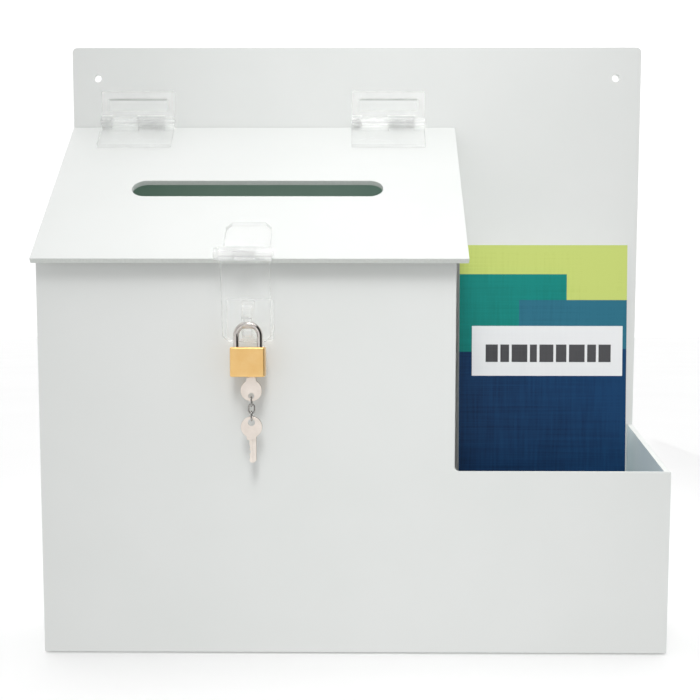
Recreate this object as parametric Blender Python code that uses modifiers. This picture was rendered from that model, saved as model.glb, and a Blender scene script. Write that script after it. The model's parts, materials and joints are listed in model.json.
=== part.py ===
"""A wall-mountable donation and suggestion box with a hinged, padlocked lid and a leaflet pocket.

Metres, +Z up, +X to the right and +Y towards the wall. The origin is the centre of the box's
footprint, on the underside of the bottom panel.
"""

import math

import bmesh
import bpy
from mathutils import Matrix, Vector

# Box and sheet
WIDTH = 0.34925
DEPTH = 0.092
HEIGHT = 0.353
SHEET = 0.0032
GAP = 0.0003
MAIN_WIDTH = 0.2296
POCKET_FRONT_HEIGHT = 0.1024
POCKET_REAR_HEIGHT = 0.1213
STEP_RADIUS = 0.003
CORNER_RADIUS = 0.003
WALL_HOLE_RADIUS = 0.00225
WALL_HOLE_INSET = 0.0153
WALL_HOLE_HEIGHT = 0.3346

# Lid: its front edge overhangs the front panel and its rear edge meets the back panel
LID_WIDTH = 0.2354
LID_OVERHANG = 0.0116
LID_FRONT_HEIGHT = 0.2183
LID_REAR_HEIGHT = 0.3053
LID_CLEARANCE = 0.0005
SLOT_LENGTH = 0.1446
SLOT_WIDTH = 0.0157
SLOT_CENTRE_X = 0.118
SLOT_CENTRE_SLOPE = 0.0661

# Clear moulded lid hinges
HINGE_CENTRES = {"left": 0.0404, "right": 0.1942}
HINGE_WIDTH = 0.0448
HINGE_END_KNUCKLE = 0.0062
HINGE_AXIS_DEPTH = 0.0852
HINGE_AXIS_HEIGHT = 0.308
WALL_LEAF_LENGTH = 0.0183
LID_LEAF_LENGTH = 0.0228
LEAF_THICKNESS = 0.0023
KNUCKLE_RADIUS = 0.0031
HINGE_PIN_RADIUS = 0.001
HINGE_BORE_RADIUS = 0.00108
KNUCKLE_ROOM = 0.0037
TAB_INSET = 0.00015
RECESS_MARGIN = 0.0039
RECESS_FROM_EDGE = 0.0045
RECESS_LENGTH = 0.0073
RECESS_DEPTH = 0.0011

# Clear moulded hasp
HASP_X = 0.116
HASP_AXIS_SLOPE = -0.0012
HASP_AXIS_HEIGHT = 0.0042
HASP_LEAF_WIDTH = 0.0254
HASP_LEAF_END = 0.03
HASP_LEAF_START = 0.0032
HASP_THICKNESS = 0.0021
HASP_CHAMFER = 0.0034
BARREL_RADIUS = 0.0038
BARREL_LEFT, BARREL_RIGHT = 0.1016, 0.1303
MIDDLE_LEFT, MIDDLE_RIGHT = 0.109, 0.1215
HASP_PIN_RADIUS = 0.0016
HASP_BORE_RADIUS = 0.0017
PIN_HEAD_RADIUS = 0.0034
PIN_HEAD_LENGTH = 0.0023
FLAP_WIDTH = 0.0265
FLAP_SHIFT = 0.0003
FLAP_CHAMFER = 0.003
FLAP_LENGTH = 0.0477
FLAP_THICKNESS = 0.0024
FLAP_LEAN = math.radians(12)
FLAP_START = 0.0046
FORK_WIDTH = 0.019
FORK_START = 0.0248

# Staple on the front panel
STAPLE_LEFT, STAPLE_RIGHT = 0.104, 0.13
STAPLE_BOTTOM, STAPLE_TOP = 0.175, 0.1974
STAPLE_THICKNESS = 0.0025
EYE_X = 0.1168
EYE_THICKNESS = 0.0055
EYE_BOTTOM, EYE_TOP = 0.1766, 0.1944
EYE_REACH = 0.0181
EYE_HOLE_RADIUS = 0.0033
EYE_HOLE_HEIGHT = 0.184
EYE_CORNER_RADIUS = 0.003

# Brass padlock
PADLOCK_X = 0.1169
PADLOCK_Y = -0.0123
PADLOCK_WIDTH = 0.0186
PADLOCK_THICKNESS = 0.01
PADLOCK_BOTTOM, PADLOCK_TOP = 0.1553, 0.1712
PADLOCK_EDGE = 0.0007
SHACKLE_RADIUS = 0.0016
SHACKLE_BORE_RADIUS = 0.00169
LEG_OFFSET = 0.00635
ARCH_TOP = 0.1834
HEEL_BOTTOM = 0.162
TOE_BOTTOM = 0.1653
HEEL_BORE_BOTTOM = 0.157
TOE_BORE_BOTTOM = 0.1651
NOTCH_BOTTOM, NOTCH_TOP, NOTCH_DEPTH = 0.1662, 0.1705, 0.00065
PLUG_OFFSET = 0.0017
PLUG_RADIUS, PLUG_BORE_RADIUS = 0.0029, 0.003
PLUG_TOP, PLUG_BORE_TOP = 0.1646, 0.1649
KEYWAY_LEFT, KEYWAY_HALF_HEIGHT = -0.0014, 0.00085
CAM_RADIUS, CAM_OFFSET, CAM_TOP = 0.0005, 0.0016, 0.1702
CAM_CAVITY_RADIUS = 0.00265
LATCH_BOTTOM, LATCH_TOP = 0.1686, 0.1701
LATCH_LEFT, LATCH_RIGHT, LATCH_HALF_WIDTH = -0.0012, 0.00525, 0.0014
LATCH_WINDOW = (-0.00093, 0.00058, -0.0006)
CHANNEL_BOTTOM, CHANNEL_TOP, CHANNEL_HALF_WIDTH = 0.1684, 0.1704, 0.0016
CHANNEL_LEFT, CHANNEL_RIGHT = -0.0043, 0.0055
PIN_HEIGHTS = (0.1574, 0.1596, 0.1618)
PIN_RADIUS, PIN_BORE_RADIUS = 0.00075, 0.00085
KEY_PIN_INNER, KEY_PIN_OUTER = 0.00135, 0.00265
DRIVER_PIN_INNER, DRIVER_PIN_OUTER = 0.0031, 0.0042
CHAMBER_END = 0.006
SPRING_WIRE = 0.00012

# Keys and chain
KEY_X = PADLOCK_X + PLUG_OFFSET
BOW_RADIUS = 0.0058
BOW_THICKNESS = 0.0017
BLADE_THICKNESS = 0.0013
BLADE_LEFT, BLADE_RIGHT = -0.0012, 0.0026
NECK_HALF_WIDTH = 0.0032
NECK_LENGTH = 0.0071
KEY_BOW_HEIGHT = 0.1478
KEY_HOLE_RADIUS, KEY_HOLE_HEIGHT = 0.0016, 0.145
KEY_TIP_HEIGHT = 0.1638
SPARE_BOW_HEIGHT = 0.1281
SPARE_HOLE_RADIUS, SPARE_HOLE_HEIGHT = 0.0019, 0.1306
SPARE_TIP_HEIGHT = 0.1087
LINK_WIRE_RADIUS = 0.00045
LINK_PITCH = 0.00497
LINK_HALF_WIDTH = 0.00155
RIM_CLEARANCE = 0.00045
LINK_CLEARANCE = 0.0002

# Leaflets in the pocket
LEAFLET_WIDTH, LEAFLET_HEIGHT = 0.1016, 0.2286
LEAFLET_LEFT = 0.2376
LEAFLET_LEAN = math.radians(3)
LEAFLET_FRONT_DEPTH = 0.071
LEAFLET_THICKNESS = 0.0008
LEAFLET_STACK_REAR = 0.0882

COLOURS = {
    "white_plastic": ((0.86, 0.87, 0.86), 0.35, 0.0),
    "clear_plastic": ((0.88, 0.9, 0.91), 0.08, 0.0),
    "brass": ((0.83, 0.6, 0.27), 0.35, 1.0),
    "steel": ((0.7, 0.7, 0.7), 0.2, 1.0),
    "nickel": ((0.72, 0.68, 0.62), 0.3, 1.0),
    "leaflet_print": ((0.1, 0.2, 0.35), 0.5, 0.0),
    "leaflet_paper": ((0.9, 0.9, 0.88), 0.8, 0.0),
}

SMALL_ROUND = 24
FINE_ROUND = 16
ACROSS_X = Matrix.Rotation(math.pi / 2, 4, "Y")
ALONG_Y = Matrix.Rotation(math.pi / 2, 4, "X")
FACING_X = Matrix(((0, 0, 1, 0), (1, 0, 0, 0), (0, 1, 0, 0), (0, 0, 0, 1)))


def from_left(x):
    """World X of a distance from the box's left edge."""
    return x - WIDTH / 2


def from_front(y):
    """World Y of a distance behind the front panel's front face."""
    return y - DEPTH / 2


LID_ANGLE = math.atan2(LID_REAR_HEIGHT - LID_FRONT_HEIGHT, DEPTH - SHEET + LID_OVERHANG)
LID_FRAME = Matrix.Translation((0, from_front(-LID_OVERHANG), LID_FRONT_HEIGHT)) @ Matrix.Rotation(
    LID_ANGLE, 4, "X"
)
HINGE_AXIS = Vector((0, from_front(HINGE_AXIS_DEPTH), HINGE_AXIS_HEIGHT))
HASP_AXIS = LID_FRAME @ Vector((from_left(HASP_X), HASP_AXIS_SLOPE, HASP_AXIS_HEIGHT))
PADLOCK = Vector((from_left(PADLOCK_X), from_front(PADLOCK_Y), 0))
PLUG = PADLOCK + Vector((PLUG_OFFSET, 0, 0))


def clear_scene():
    for obj in list(bpy.data.objects):
        bpy.data.objects.remove(obj, do_unlink=True)


def new_collection(name, shown=True):
    collection = bpy.data.collections.new(name)
    collection.hide_render = not shown
    bpy.context.scene.collection.children.link(collection)
    return collection


def make_materials():
    for name, (colour, roughness, metallic) in COLOURS.items():
        material = bpy.data.materials.new(name)
        material.use_nodes = True
        shader = material.node_tree.nodes["Principled BSDF"]
        shader.inputs["Base Color"].default_value = (*colour, 1)
        shader.inputs["Roughness"].default_value = roughness
        shader.inputs["Metallic"].default_value = metallic
        if name == "clear_plastic":
            shader.inputs["Transmission Weight"].default_value = 0.9


def mesh_object(name, mesh):
    obj = bpy.data.objects.new(name, mesh)
    CUTTERS.objects.link(obj)
    obj.hide_render = True
    obj.display_type = "WIRE"
    return obj


def finish_node(obj, material, smooth=False):
    """Moves a shape from the cutters to the object's own collection and gives it its material."""
    CUTTERS.objects.unlink(obj)
    BOX.objects.link(obj)
    obj.hide_render = False
    obj.display_type = "TEXTURED"
    obj.data.materials.clear()
    obj.data.materials.append(bpy.data.materials[material])
    if smooth:
        obj.data.shade_smooth()
        obj.data.set_sharp_from_angle(angle=math.radians(35))
    return obj


def block(name, low, high):
    """A box between two corners."""
    low, high = Vector(low), Vector(high)
    shape = bmesh.new()
    bmesh.ops.create_cube(shape, size=1)
    bmesh.ops.scale(shape, vec=high - low, verts=shape.verts)
    bmesh.ops.translate(shape, vec=(low + high) / 2, verts=shape.verts)
    mesh = bpy.data.meshes.new(name)
    shape.to_mesh(mesh)
    shape.free()
    return mesh_object(name, mesh)


def rod(name, radius, length, centre, turn=None, segments=SMALL_ROUND):
    """A cylinder along Z, turned and then placed by its centre."""
    shape = bmesh.new()
    bmesh.ops.create_cone(
        shape,
        cap_ends=True,
        segments=segments,
        radius1=radius,
        radius2=radius,
        depth=length,
        matrix=Matrix.Translation(centre) @ (turn or Matrix.Identity(4)),
    )
    mesh = bpy.data.meshes.new(name)
    shape.to_mesh(mesh)
    shape.free()
    return mesh_object(name, mesh)


def arc(centre, radius, start, end, steps=6):
    """Points on a circular arc, from one angle to another in degrees."""
    angles = [math.radians(start + (end - start) * i / steps) for i in range(steps + 1)]
    return [(centre[0] + radius * math.cos(a), centre[1] + radius * math.sin(a)) for a in angles]


def as_mesh(curve_object):
    """Turns a curve object into a closed mesh object at the same place."""
    bpy.context.view_layer.update()
    graph = bpy.context.evaluated_depsgraph_get()
    mesh = bpy.data.meshes.new_from_object(curve_object.evaluated_get(graph))
    mesh.transform(curve_object.matrix_world)
    shape = bmesh.new()
    shape.from_mesh(mesh)
    bmesh.ops.remove_doubles(shape, verts=shape.verts, dist=1e-6)
    bmesh.ops.recalc_face_normals(shape, faces=shape.faces)
    shape.to_mesh(mesh)
    shape.free()
    name = curve_object.name
    bpy.data.objects.remove(curve_object)
    return mesh_object(name, mesh)


def plate(name, outline, thickness, place):
    """A flat outline given thickness on both sides of its plane, then placed by a matrix."""
    shape = bmesh.new()
    rings = [
        [shape.verts.new(place @ Vector((x, y, side * thickness / 2))) for x, y in outline]
        for side in (-1, 1)
    ]
    for ring in rings:
        shape.faces.new(ring)
    for i in range(len(outline)):
        shape.faces.new((rings[0][i - 1], rings[0][i], rings[1][i], rings[1][i - 1]))
    bmesh.ops.recalc_face_normals(shape, faces=shape.faces)
    mesh = bpy.data.meshes.new(name)
    shape.to_mesh(mesh)
    shape.free()
    return mesh_object(name, mesh)


def wire(name, points, radius, cyclic=False):
    """A round wire along the points."""
    curve = bpy.data.curves.new(name, "CURVE")
    curve.dimensions = "3D"
    spline = curve.splines.new("POLY")
    spline.points.add(len(points) - 1)
    for point, place in zip(spline.points, points):
        point.co = (*place, 1)
    spline.use_cyclic_u = cyclic
    curve.bevel_depth = radius
    curve.bevel_resolution = 2
    curve.use_fill_caps = not cyclic
    obj = bpy.data.objects.new(name, curve)
    CUTTERS.objects.link(obj)
    return as_mesh(obj)


def combine(target, operation, *others):
    for other in others:
        modifier = target.modifiers.new(other.name, "BOOLEAN")
        modifier.operation = operation
        modifier.object = other
        modifier.solver = "EXACT"
    return target


def cut(target, *others):
    return combine(target, "DIFFERENCE", *others)


def join(target, *others):
    return combine(target, "UNION", *others)


def bevel(obj, width, segments=2):
    modifier = obj.modifiers.new("edges", "BEVEL")
    modifier.width = width
    modifier.segments = segments
    modifier.limit_method = "ANGLE"
    return obj


def pivot(name, place):
    """An empty on a joint's axis, which the moving pieces are parented to."""
    empty = bpy.data.objects.new(name, None)
    empty.empty_display_size = 0.01
    empty.location = place
    BOX.objects.link(empty)
    bpy.context.view_layer.update()
    return empty


def hang(parent, *pieces):
    bpy.context.view_layer.update()
    for piece in pieces:
        piece.parent = parent
        piece.matrix_parent_inverse = parent.matrix_world.inverted()


def facing_front(y):
    """Places an outline drawn in X and Z at this world Y."""
    return Matrix.Translation((0, y, 0)) @ ALONG_Y


def facing_side(x):
    """Places an outline drawn in Y and Z at this world X."""
    return Matrix.Translation((x, 0, 0)) @ FACING_X


# Panels


def lid_underside(y):
    """Height of the lid's underside above a world Y."""
    rise = (y - from_front(-LID_OVERHANG)) * math.tan(LID_ANGLE)
    return LID_FRONT_HEIGHT + rise - SHEET / math.cos(LID_ANGLE)


def make_back_panel():
    left, right, r = -WIDTH / 2, WIDTH / 2, CORNER_RADIUS
    outline = [(left, 0), (right, 0)]
    outline += arc((right - r, HEIGHT - r), r, 0, 90)
    outline += arc((left + r, HEIGHT - r), r, 90, 180)
    y = DEPTH / 2 - SHEET / 2
    panel = plate("back_panel", outline, SHEET, facing_front(y))
    holes = [
        rod(f"wall_hole_{side}", WALL_HOLE_RADIUS, 2 * SHEET, (side * (WIDTH / 2 - WALL_HOLE_INSET), y,
            WALL_HOLE_HEIGHT), ALONG_Y)
        for side in (-1, 1)
    ]
    return finish_node(cut(panel, *holes), "white_plastic")


def make_front_panel():
    """One sheet across the letter compartment and the pocket, stepped down with a rounded corner."""
    left, right, step, r = -WIDTH / 2, WIDTH / 2, from_left(MAIN_WIDTH), STEP_RADIUS
    top = lid_underside(from_front(0)) - GAP
    outline = [(left, 0), (right, 0), (right, POCKET_FRONT_HEIGHT)]
    outline += arc((step + r, POCKET_FRONT_HEIGHT + r), r, 270, 180)
    outline += [(step, top), (left, top)]
    panel = plate("front_panel", outline, SHEET, facing_front(from_front(SHEET / 2)))
    return finish_node(panel, "white_plastic")


def make_sloped_side(name, left, bottom):
    """A side of the letter compartment, whose top edge follows the lid."""
    front, rear = from_front(SHEET + GAP), DEPTH / 2 - SHEET - GAP
    outline = [
        (front, bottom),
        (rear, bottom),
        (rear, lid_underside(rear) - GAP),
        (front, lid_underside(front) - GAP),
    ]
    return finish_node(plate(name, outline, SHEET, facing_side(left + SHEET / 2)), "white_plastic")


def make_pocket_side():
    front, rear = from_front(SHEET + GAP), DEPTH / 2 - SHEET - GAP
    outline = [(front, 0), (rear, 0), (rear, POCKET_REAR_HEIGHT), (front, POCKET_FRONT_HEIGHT)]
    place = facing_side(WIDTH / 2 - SHEET / 2)
    return finish_node(plate("pocket_side_panel", outline, SHEET, place), "white_plastic")


def make_bottom_panel():
    side = WIDTH / 2 - SHEET - GAP
    panel = block(
        "bottom_panel",
        (-side, from_front(SHEET + GAP), 0),
        (side, DEPTH / 2 - SHEET - GAP, SHEET),
    )
    return finish_node(panel, "white_plastic")


def make_lid_panel():
    """The sloping lid, with its rear edge cut upright and a round-ended slot."""
    front = from_front(-LID_OVERHANG)
    rear = DEPTH / 2 - SHEET - LID_CLEARANCE
    outline = [
        (front, LID_FRONT_HEIGHT),
        (front + SHEET * math.sin(LID_ANGLE), LID_FRONT_HEIGHT - SHEET * math.cos(LID_ANGLE)),
        (rear, lid_underside(rear)),
        (rear, lid_underside(rear) + SHEET / math.cos(LID_ANGLE)),
    ]
    lid = plate("lid_panel", outline, LID_WIDTH, facing_side(from_left(LID_WIDTH / 2)))
    x, r = from_left(SLOT_CENTRE_X), SLOT_WIDTH / 2
    reach = SLOT_LENGTH / 2 - r
    slot_outline = arc((x + reach, SLOT_CENTRE_SLOPE), r, -90, 90, 12)
    slot_outline += arc((x - reach, SLOT_CENTRE_SLOPE), r, 90, 270, 12)
    slot = plate("lid_slot_cutter", slot_outline, 4 * SHEET, LID_FRAME)
    return finish_node(cut(lid, slot), "white_plastic")


# Lid hinges


def knuckle_spans(centre, leaf):
    """The world X spans of a leaf's knuckles. The lid leaf has the first and third of four."""
    left, right = from_left(centre - HINGE_WIDTH / 2), from_left(centre + HINGE_WIDTH / 2)
    middle, half = from_left(centre), GAP / 2
    first, last = left + HINGE_END_KNUCKLE, right - HINGE_END_KNUCKLE
    if leaf == "lid":
        return [(left, first - half), (middle + half, last - half)]
    return [(first + half, middle - half), (last + half, right)]


def make_leaf(name, centre, leaf, place, length, axis_height):
    """A hinge leaf drawn flat: local Y runs from the axis to its far edge, and Z is its thickness."""
    left, right = from_left(centre - HINGE_WIDTH / 2), from_left(centre + HINGE_WIDTH / 2)
    spans = knuckle_spans(centre, leaf)
    outline = [(right, length), (left, length)]
    if leaf == "lid":
        outline += [(left, 0), (spans[0][1], 0), (spans[0][1], KNUCKLE_ROOM)]
        outline += [(spans[1][0], KNUCKLE_ROOM), (spans[1][0], 0), (spans[1][1], 0)]
        outline += [(spans[1][1], KNUCKLE_ROOM), (right, KNUCKLE_ROOM)]
    else:
        outline += [(left, KNUCKLE_ROOM), (spans[0][0], KNUCKLE_ROOM), (spans[0][0], 0)]
        outline += [(spans[0][1], 0), (spans[0][1], KNUCKLE_ROOM)]
        outline += [(spans[1][0], KNUCKLE_ROOM), (spans[1][0], 0), (right, 0)]
    body = plate(name, outline, LEAF_THICKNESS, place @ Matrix.Translation((0, 0, LEAF_THICKNESS / 2)))
    knuckles = []
    for i, (a, b) in enumerate(spans):
        middle = place @ Vector(((a + b) / 2, 0, axis_height))
        knuckles.append(rod(f"{name}_knuckle_{i}", KNUCKLE_RADIUS, b - a, middle, ACROSS_X))
    middle = place @ Vector((from_left(centre), 0, axis_height))
    bore = rod(name + "_bore", HINGE_BORE_RADIUS, 2 * HINGE_WIDTH, middle, ACROSS_X)
    recess_outline = [
        (left + RECESS_MARGIN, length - RECESS_FROM_EDGE - RECESS_LENGTH),
        (right - RECESS_MARGIN, length - RECESS_FROM_EDGE - RECESS_LENGTH),
        (right - RECESS_MARGIN, length - RECESS_FROM_EDGE),
        (left + RECESS_MARGIN, length - RECESS_FROM_EDGE),
    ]
    above_floor = Matrix.Translation((0, 0, LEAF_THICKNESS - RECESS_DEPTH + 0.002))
    recess = plate(name + "_recess", recess_outline, 0.004, place @ above_floor)
    return finish_node(cut(join(body, *knuckles), bore, recess), "clear_plastic")


def wall_leaf_place():
    """Local Y up the back panel and local Z out of it, with the axis at local Y 0."""
    face = DEPTH / 2 - SHEET - GAP
    return Matrix(((1, 0, 0, 0), (0, 0, -1, face), (0, 1, 0, HINGE_AXIS.z), (0, 0, 0, 1)))


def lid_leaf_place():
    """Local Y down the lid and local Z out of it, with the axis at local Y 0."""
    axis = LID_FRAME.inverted() @ HINGE_AXIS
    flip = Matrix(((1, 0, 0, 0), (0, -1, 0, axis.y), (0, 0, 1, GAP), (0, 0, 0, 1)))
    return LID_FRAME @ flip


def make_hinge(side):
    """One hinge: its wall leaf and pin, which stay with the box, and its lid leaf."""
    centre = HINGE_CENTRES[side]
    above_wall = DEPTH / 2 - SHEET - GAP - HINGE_AXIS.y
    above_lid = (LID_FRAME.inverted() @ HINGE_AXIS).z - GAP
    name = f"hinge_{side}"
    wall = make_leaf(f"{name}_wall_leaf", centre, "wall", wall_leaf_place(), WALL_LEAF_LENGTH, above_wall)
    lid = make_leaf(f"{name}_lid_leaf", centre, "lid", lid_leaf_place(), LID_LEAF_LENGTH, above_lid)
    middle = Vector((from_left(centre), HINGE_AXIS.y, HINGE_AXIS.z))
    pin = rod(f"{name}_pin", HINGE_PIN_RADIUS, HINGE_WIDTH + 0.0012, middle, ACROSS_X)
    return wall, lid, finish_node(pin, "clear_plastic", smooth=True)


# Hasp and staple


def make_hasp_lid_leaf():
    """The leaf fixed on the lid: a plate with clipped corners and the barrel's middle knuckle."""
    x, half, c = from_left(HASP_X), HASP_LEAF_WIDTH / 2, HASP_CHAMFER
    left, right = from_left(MIDDLE_LEFT) + GAP / 2, from_left(MIDDLE_RIGHT) - GAP / 2
    inset = TAB_INSET
    outline = [
        (x - half, HASP_LEAF_START),
        (left + inset, HASP_LEAF_START),
        (left + inset, HASP_AXIS_SLOPE),
        (right - inset, HASP_AXIS_SLOPE),
        (right - inset, HASP_LEAF_START),
        (x + half, HASP_LEAF_START),
        (x + half, HASP_LEAF_END - 1.4 * c),
        (x + half - c, HASP_LEAF_END),
        (x - half + c, HASP_LEAF_END),
        (x - half, HASP_LEAF_END - 1.4 * c),
    ]
    lift = Matrix.Translation((0, 0, GAP + HASP_THICKNESS / 2))
    leaf = plate("hasp_lid_leaf", outline, HASP_THICKNESS, LID_FRAME @ lift)
    middle = Vector(((left + right) / 2, HASP_AXIS.y, HASP_AXIS.z))
    knuckle = rod("hasp_middle_knuckle", BARREL_RADIUS, right - left, middle, ACROSS_X)
    bore = rod("hasp_middle_bore", HASP_BORE_RADIUS, 0.02, middle, ACROSS_X)
    return finish_node(cut(join(leaf, knuckle), bore), "clear_plastic")


def flap_frame():
    """Local Y runs down the flap from the hasp's axis, and local Z points out to the front."""
    down = Vector((0, math.sin(FLAP_LEAN), -math.cos(FLAP_LEAN)))
    out = Vector((-1, 0, 0)).cross(down)
    place = Matrix((Vector((-1, 0, 0)), down, out)).transposed().to_4x4()
    place.translation = HASP_AXIS
    return place


def make_hasp_flap():
    """The swinging flap, hung from the barrel's outer knuckles and forked round the staple's eye."""
    place = flap_frame()
    prong, c = FORK_WIDTH / 2, FLAP_CHAMFER
    left, right = FLAP_WIDTH / 2 + FLAP_SHIFT, FLAP_SHIFT - FLAP_WIDTH / 2
    inner = from_left(HASP_X)
    outline = [
        (left, 0),
        (left, FLAP_LENGTH - c),
        (left - c, FLAP_LENGTH),
        (prong, FLAP_LENGTH),
        *arc((prong - 0.003, FORK_START + 0.003), 0.003, 0, -90),
        *arc((-prong + 0.003, FORK_START + 0.003), 0.003, -90, -180),
        (-prong, FLAP_LENGTH),
        (right + c, FLAP_LENGTH),
        (right, FLAP_LENGTH - c),
        (right, 0),
    ]
    flap = plate("hasp_flap", outline, FLAP_THICKNESS, place)
    room = block(
        "hasp_flap_room",
        (inner - from_left(MIDDLE_RIGHT), -0.01, -0.01),
        (inner - from_left(MIDDLE_LEFT), FLAP_START, 0.01),
    )
    room.data.transform(place)
    cut(flap, room)
    for name, a, b in (
        ("left", BARREL_LEFT, MIDDLE_LEFT - GAP / 2),
        ("right", MIDDLE_RIGHT + GAP / 2, BARREL_RIGHT),
    ):
        middle = Vector((from_left((a + b) / 2), HASP_AXIS.y, HASP_AXIS.z))
        join(flap, rod(f"hasp_{name}_knuckle", BARREL_RADIUS, b - a, middle, ACROSS_X))
    bore = rod("hasp_flap_bore", HASP_BORE_RADIUS, 0.05, HASP_AXIS, ACROSS_X)
    return finish_node(cut(flap, bore), "clear_plastic")


def make_hasp_pin():
    """The barrel's pin, with a round head at its left end."""
    left = from_left(BARREL_LEFT) - GAP
    right = from_left(BARREL_RIGHT) + GAP
    centre = Vector(((left + right) / 2, HASP_AXIS.y, HASP_AXIS.z))
    pin = rod("hasp_pin", HASP_PIN_RADIUS, right - left + 0.001, centre, ACROSS_X)
    head_centre = Vector((left - PIN_HEAD_LENGTH / 2, HASP_AXIS.y, HASP_AXIS.z))
    head = rod("hasp_pin_head", PIN_HEAD_RADIUS, PIN_HEAD_LENGTH, head_centre, ACROSS_X)
    return finish_node(join(pin, head), "clear_plastic")


def make_staple():
    """A base plate with an upright eye, whose cross hole takes the padlock's shackle."""
    face = from_front(-GAP)
    base = block(
        "hasp_staple",
        (from_left(STAPLE_LEFT), face - STAPLE_THICKNESS, STAPLE_BOTTOM),
        (from_left(STAPLE_RIGHT), face, STAPLE_TOP),
    )
    front, r = from_front(-EYE_REACH), EYE_CORNER_RADIUS
    outline = [(face - 0.001, EYE_TOP)]
    outline += arc((front + r, EYE_TOP - r), r, 90, 180)
    outline += arc((front + r, EYE_BOTTOM + r), r, 180, 270)
    outline += [(face - 0.001, EYE_BOTTOM)]
    eye = plate("staple_eye", outline, EYE_THICKNESS, facing_side(from_left(EYE_X)))
    centre = (from_left(EYE_X), PADLOCK.y, EYE_HOLE_HEIGHT)
    hole = rod("staple_hole", EYE_HOLE_RADIUS, 0.02, centre, ACROSS_X)
    return finish_node(cut(join(base, eye), hole), "clear_plastic")


# Padlock


def helix(start, along, across, radius, length, turns):
    """Points of a coil round a straight line from start, along one unit vector."""
    side = along.cross(across)
    steps = 10 * turns
    points = []
    for i in range(steps + 1):
        angle = 2 * math.pi * turns * i / steps
        ring = across * math.cos(angle) + side * math.sin(angle)
        points.append(start + along * (length * i / steps) + ring * radius)
    return points


def make_padlock_body():
    half, thick = PADLOCK_WIDTH / 2, PADLOCK_THICKNESS / 2
    x, y = PADLOCK.x, PADLOCK.y
    body = block(
        "padlock_body",
        (x - half, y - thick, PADLOCK_BOTTOM),
        (x + half, y + thick, PADLOCK_TOP),
    )
    bevel(body, PADLOCK_EDGE)

    def bore(name, dx, bottom, top, radius):
        return rod(name, radius, top - bottom, (x + dx, y, (top + bottom) / 2))

    above = PADLOCK_TOP + 0.002
    below = PADLOCK_BOTTOM - 0.002
    cutters = [
        bore("heel_bore", -LEG_OFFSET, HEEL_BORE_BOTTOM, above, SHACKLE_BORE_RADIUS),
        bore("toe_bore", LEG_OFFSET, TOE_BORE_BOTTOM, above, SHACKLE_BORE_RADIUS),
        bore("plug_bore", PLUG_OFFSET, below, PLUG_BORE_TOP, PLUG_BORE_RADIUS),
        bore("cam_cavity", PLUG_OFFSET, PLUG_BORE_TOP - 0.0005, CHANNEL_TOP, CAM_CAVITY_RADIUS),
        block(
            "latch_channel",
            (x + CHANNEL_LEFT, y - CHANNEL_HALF_WIDTH, CHANNEL_BOTTOM),
            (x + CHANNEL_RIGHT, y + CHANNEL_HALF_WIDTH, CHANNEL_TOP - 0.0001),
        ),
    ]
    for i, z in enumerate(PIN_HEIGHTS):
        centre = PLUG + Vector((-(CHAMBER_END + PLUG_RADIUS - 0.001) / 2, 0, z))
        length = CHAMBER_END - PLUG_RADIUS + 0.001
        cutters.append(rod(f"pin_chamber_{i + 1}", PIN_BORE_RADIUS, length, centre, ACROSS_X, FINE_ROUND))
    return finish_node(cut(body, *cutters), "brass")


def make_shackle():
    """A bent rod: a long heel leg, the arch, and a toe leg that is notched for the latch."""
    x, y, centre = PADLOCK.x, PADLOCK.y, ARCH_TOP - LEG_OFFSET
    points = [(x - LEG_OFFSET, y, HEEL_BOTTOM)]
    points += [(px, y, pz) for px, pz in arc((x, centre), LEG_OFFSET, 180, 0, 16)]
    points += [(x + LEG_OFFSET, y, TOE_BOTTOM)]
    shackle = wire("padlock_shackle", points, SHACKLE_RADIUS)
    inner = x + LEG_OFFSET - SHACKLE_RADIUS
    notch = block(
        "toe_notch",
        (inner - 0.001, y - 0.003, NOTCH_BOTTOM),
        (inner + NOTCH_DEPTH, y + 0.003, NOTCH_TOP),
    )
    return finish_node(cut(shackle, notch), "steel", smooth=True)


def make_plug():
    """The plug that the key turns, with its keyway, pin holes and the cam pin on its inner end."""
    length = PLUG_TOP - PADLOCK_BOTTOM
    middle = PLUG + Vector((0, 0, PADLOCK_BOTTOM + length / 2))
    plug = rod("padlock_plug", PLUG_RADIUS, length, middle)
    cam_length = CAM_TOP - PLUG_TOP + 0.0005
    cam_centre = PLUG + Vector((0, CAM_OFFSET, CAM_TOP - cam_length / 2))
    cam = rod("plug_cam", CAM_RADIUS, cam_length, cam_centre, segments=FINE_ROUND)
    keyway = block(
        "keyway",
        PLUG + Vector((KEYWAY_LEFT, -KEYWAY_HALF_HEIGHT, PADLOCK_BOTTOM - 0.001)),
        PLUG + Vector((PLUG_RADIUS + 0.001, KEYWAY_HALF_HEIGHT, KEY_TIP_HEIGHT + GAP)),
    )
    holes = [
        rod(f"plug_pin_hole_{i + 1}", PIN_BORE_RADIUS, PLUG_RADIUS, PLUG + Vector((-PLUG_RADIUS / 2 - 0.0006,
            0, z)), ACROSS_X, FINE_ROUND)
        for i, z in enumerate(PIN_HEIGHTS)
    ]
    return finish_node(cut(join(plug, cam), keyway, *holes), "brass")


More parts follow.
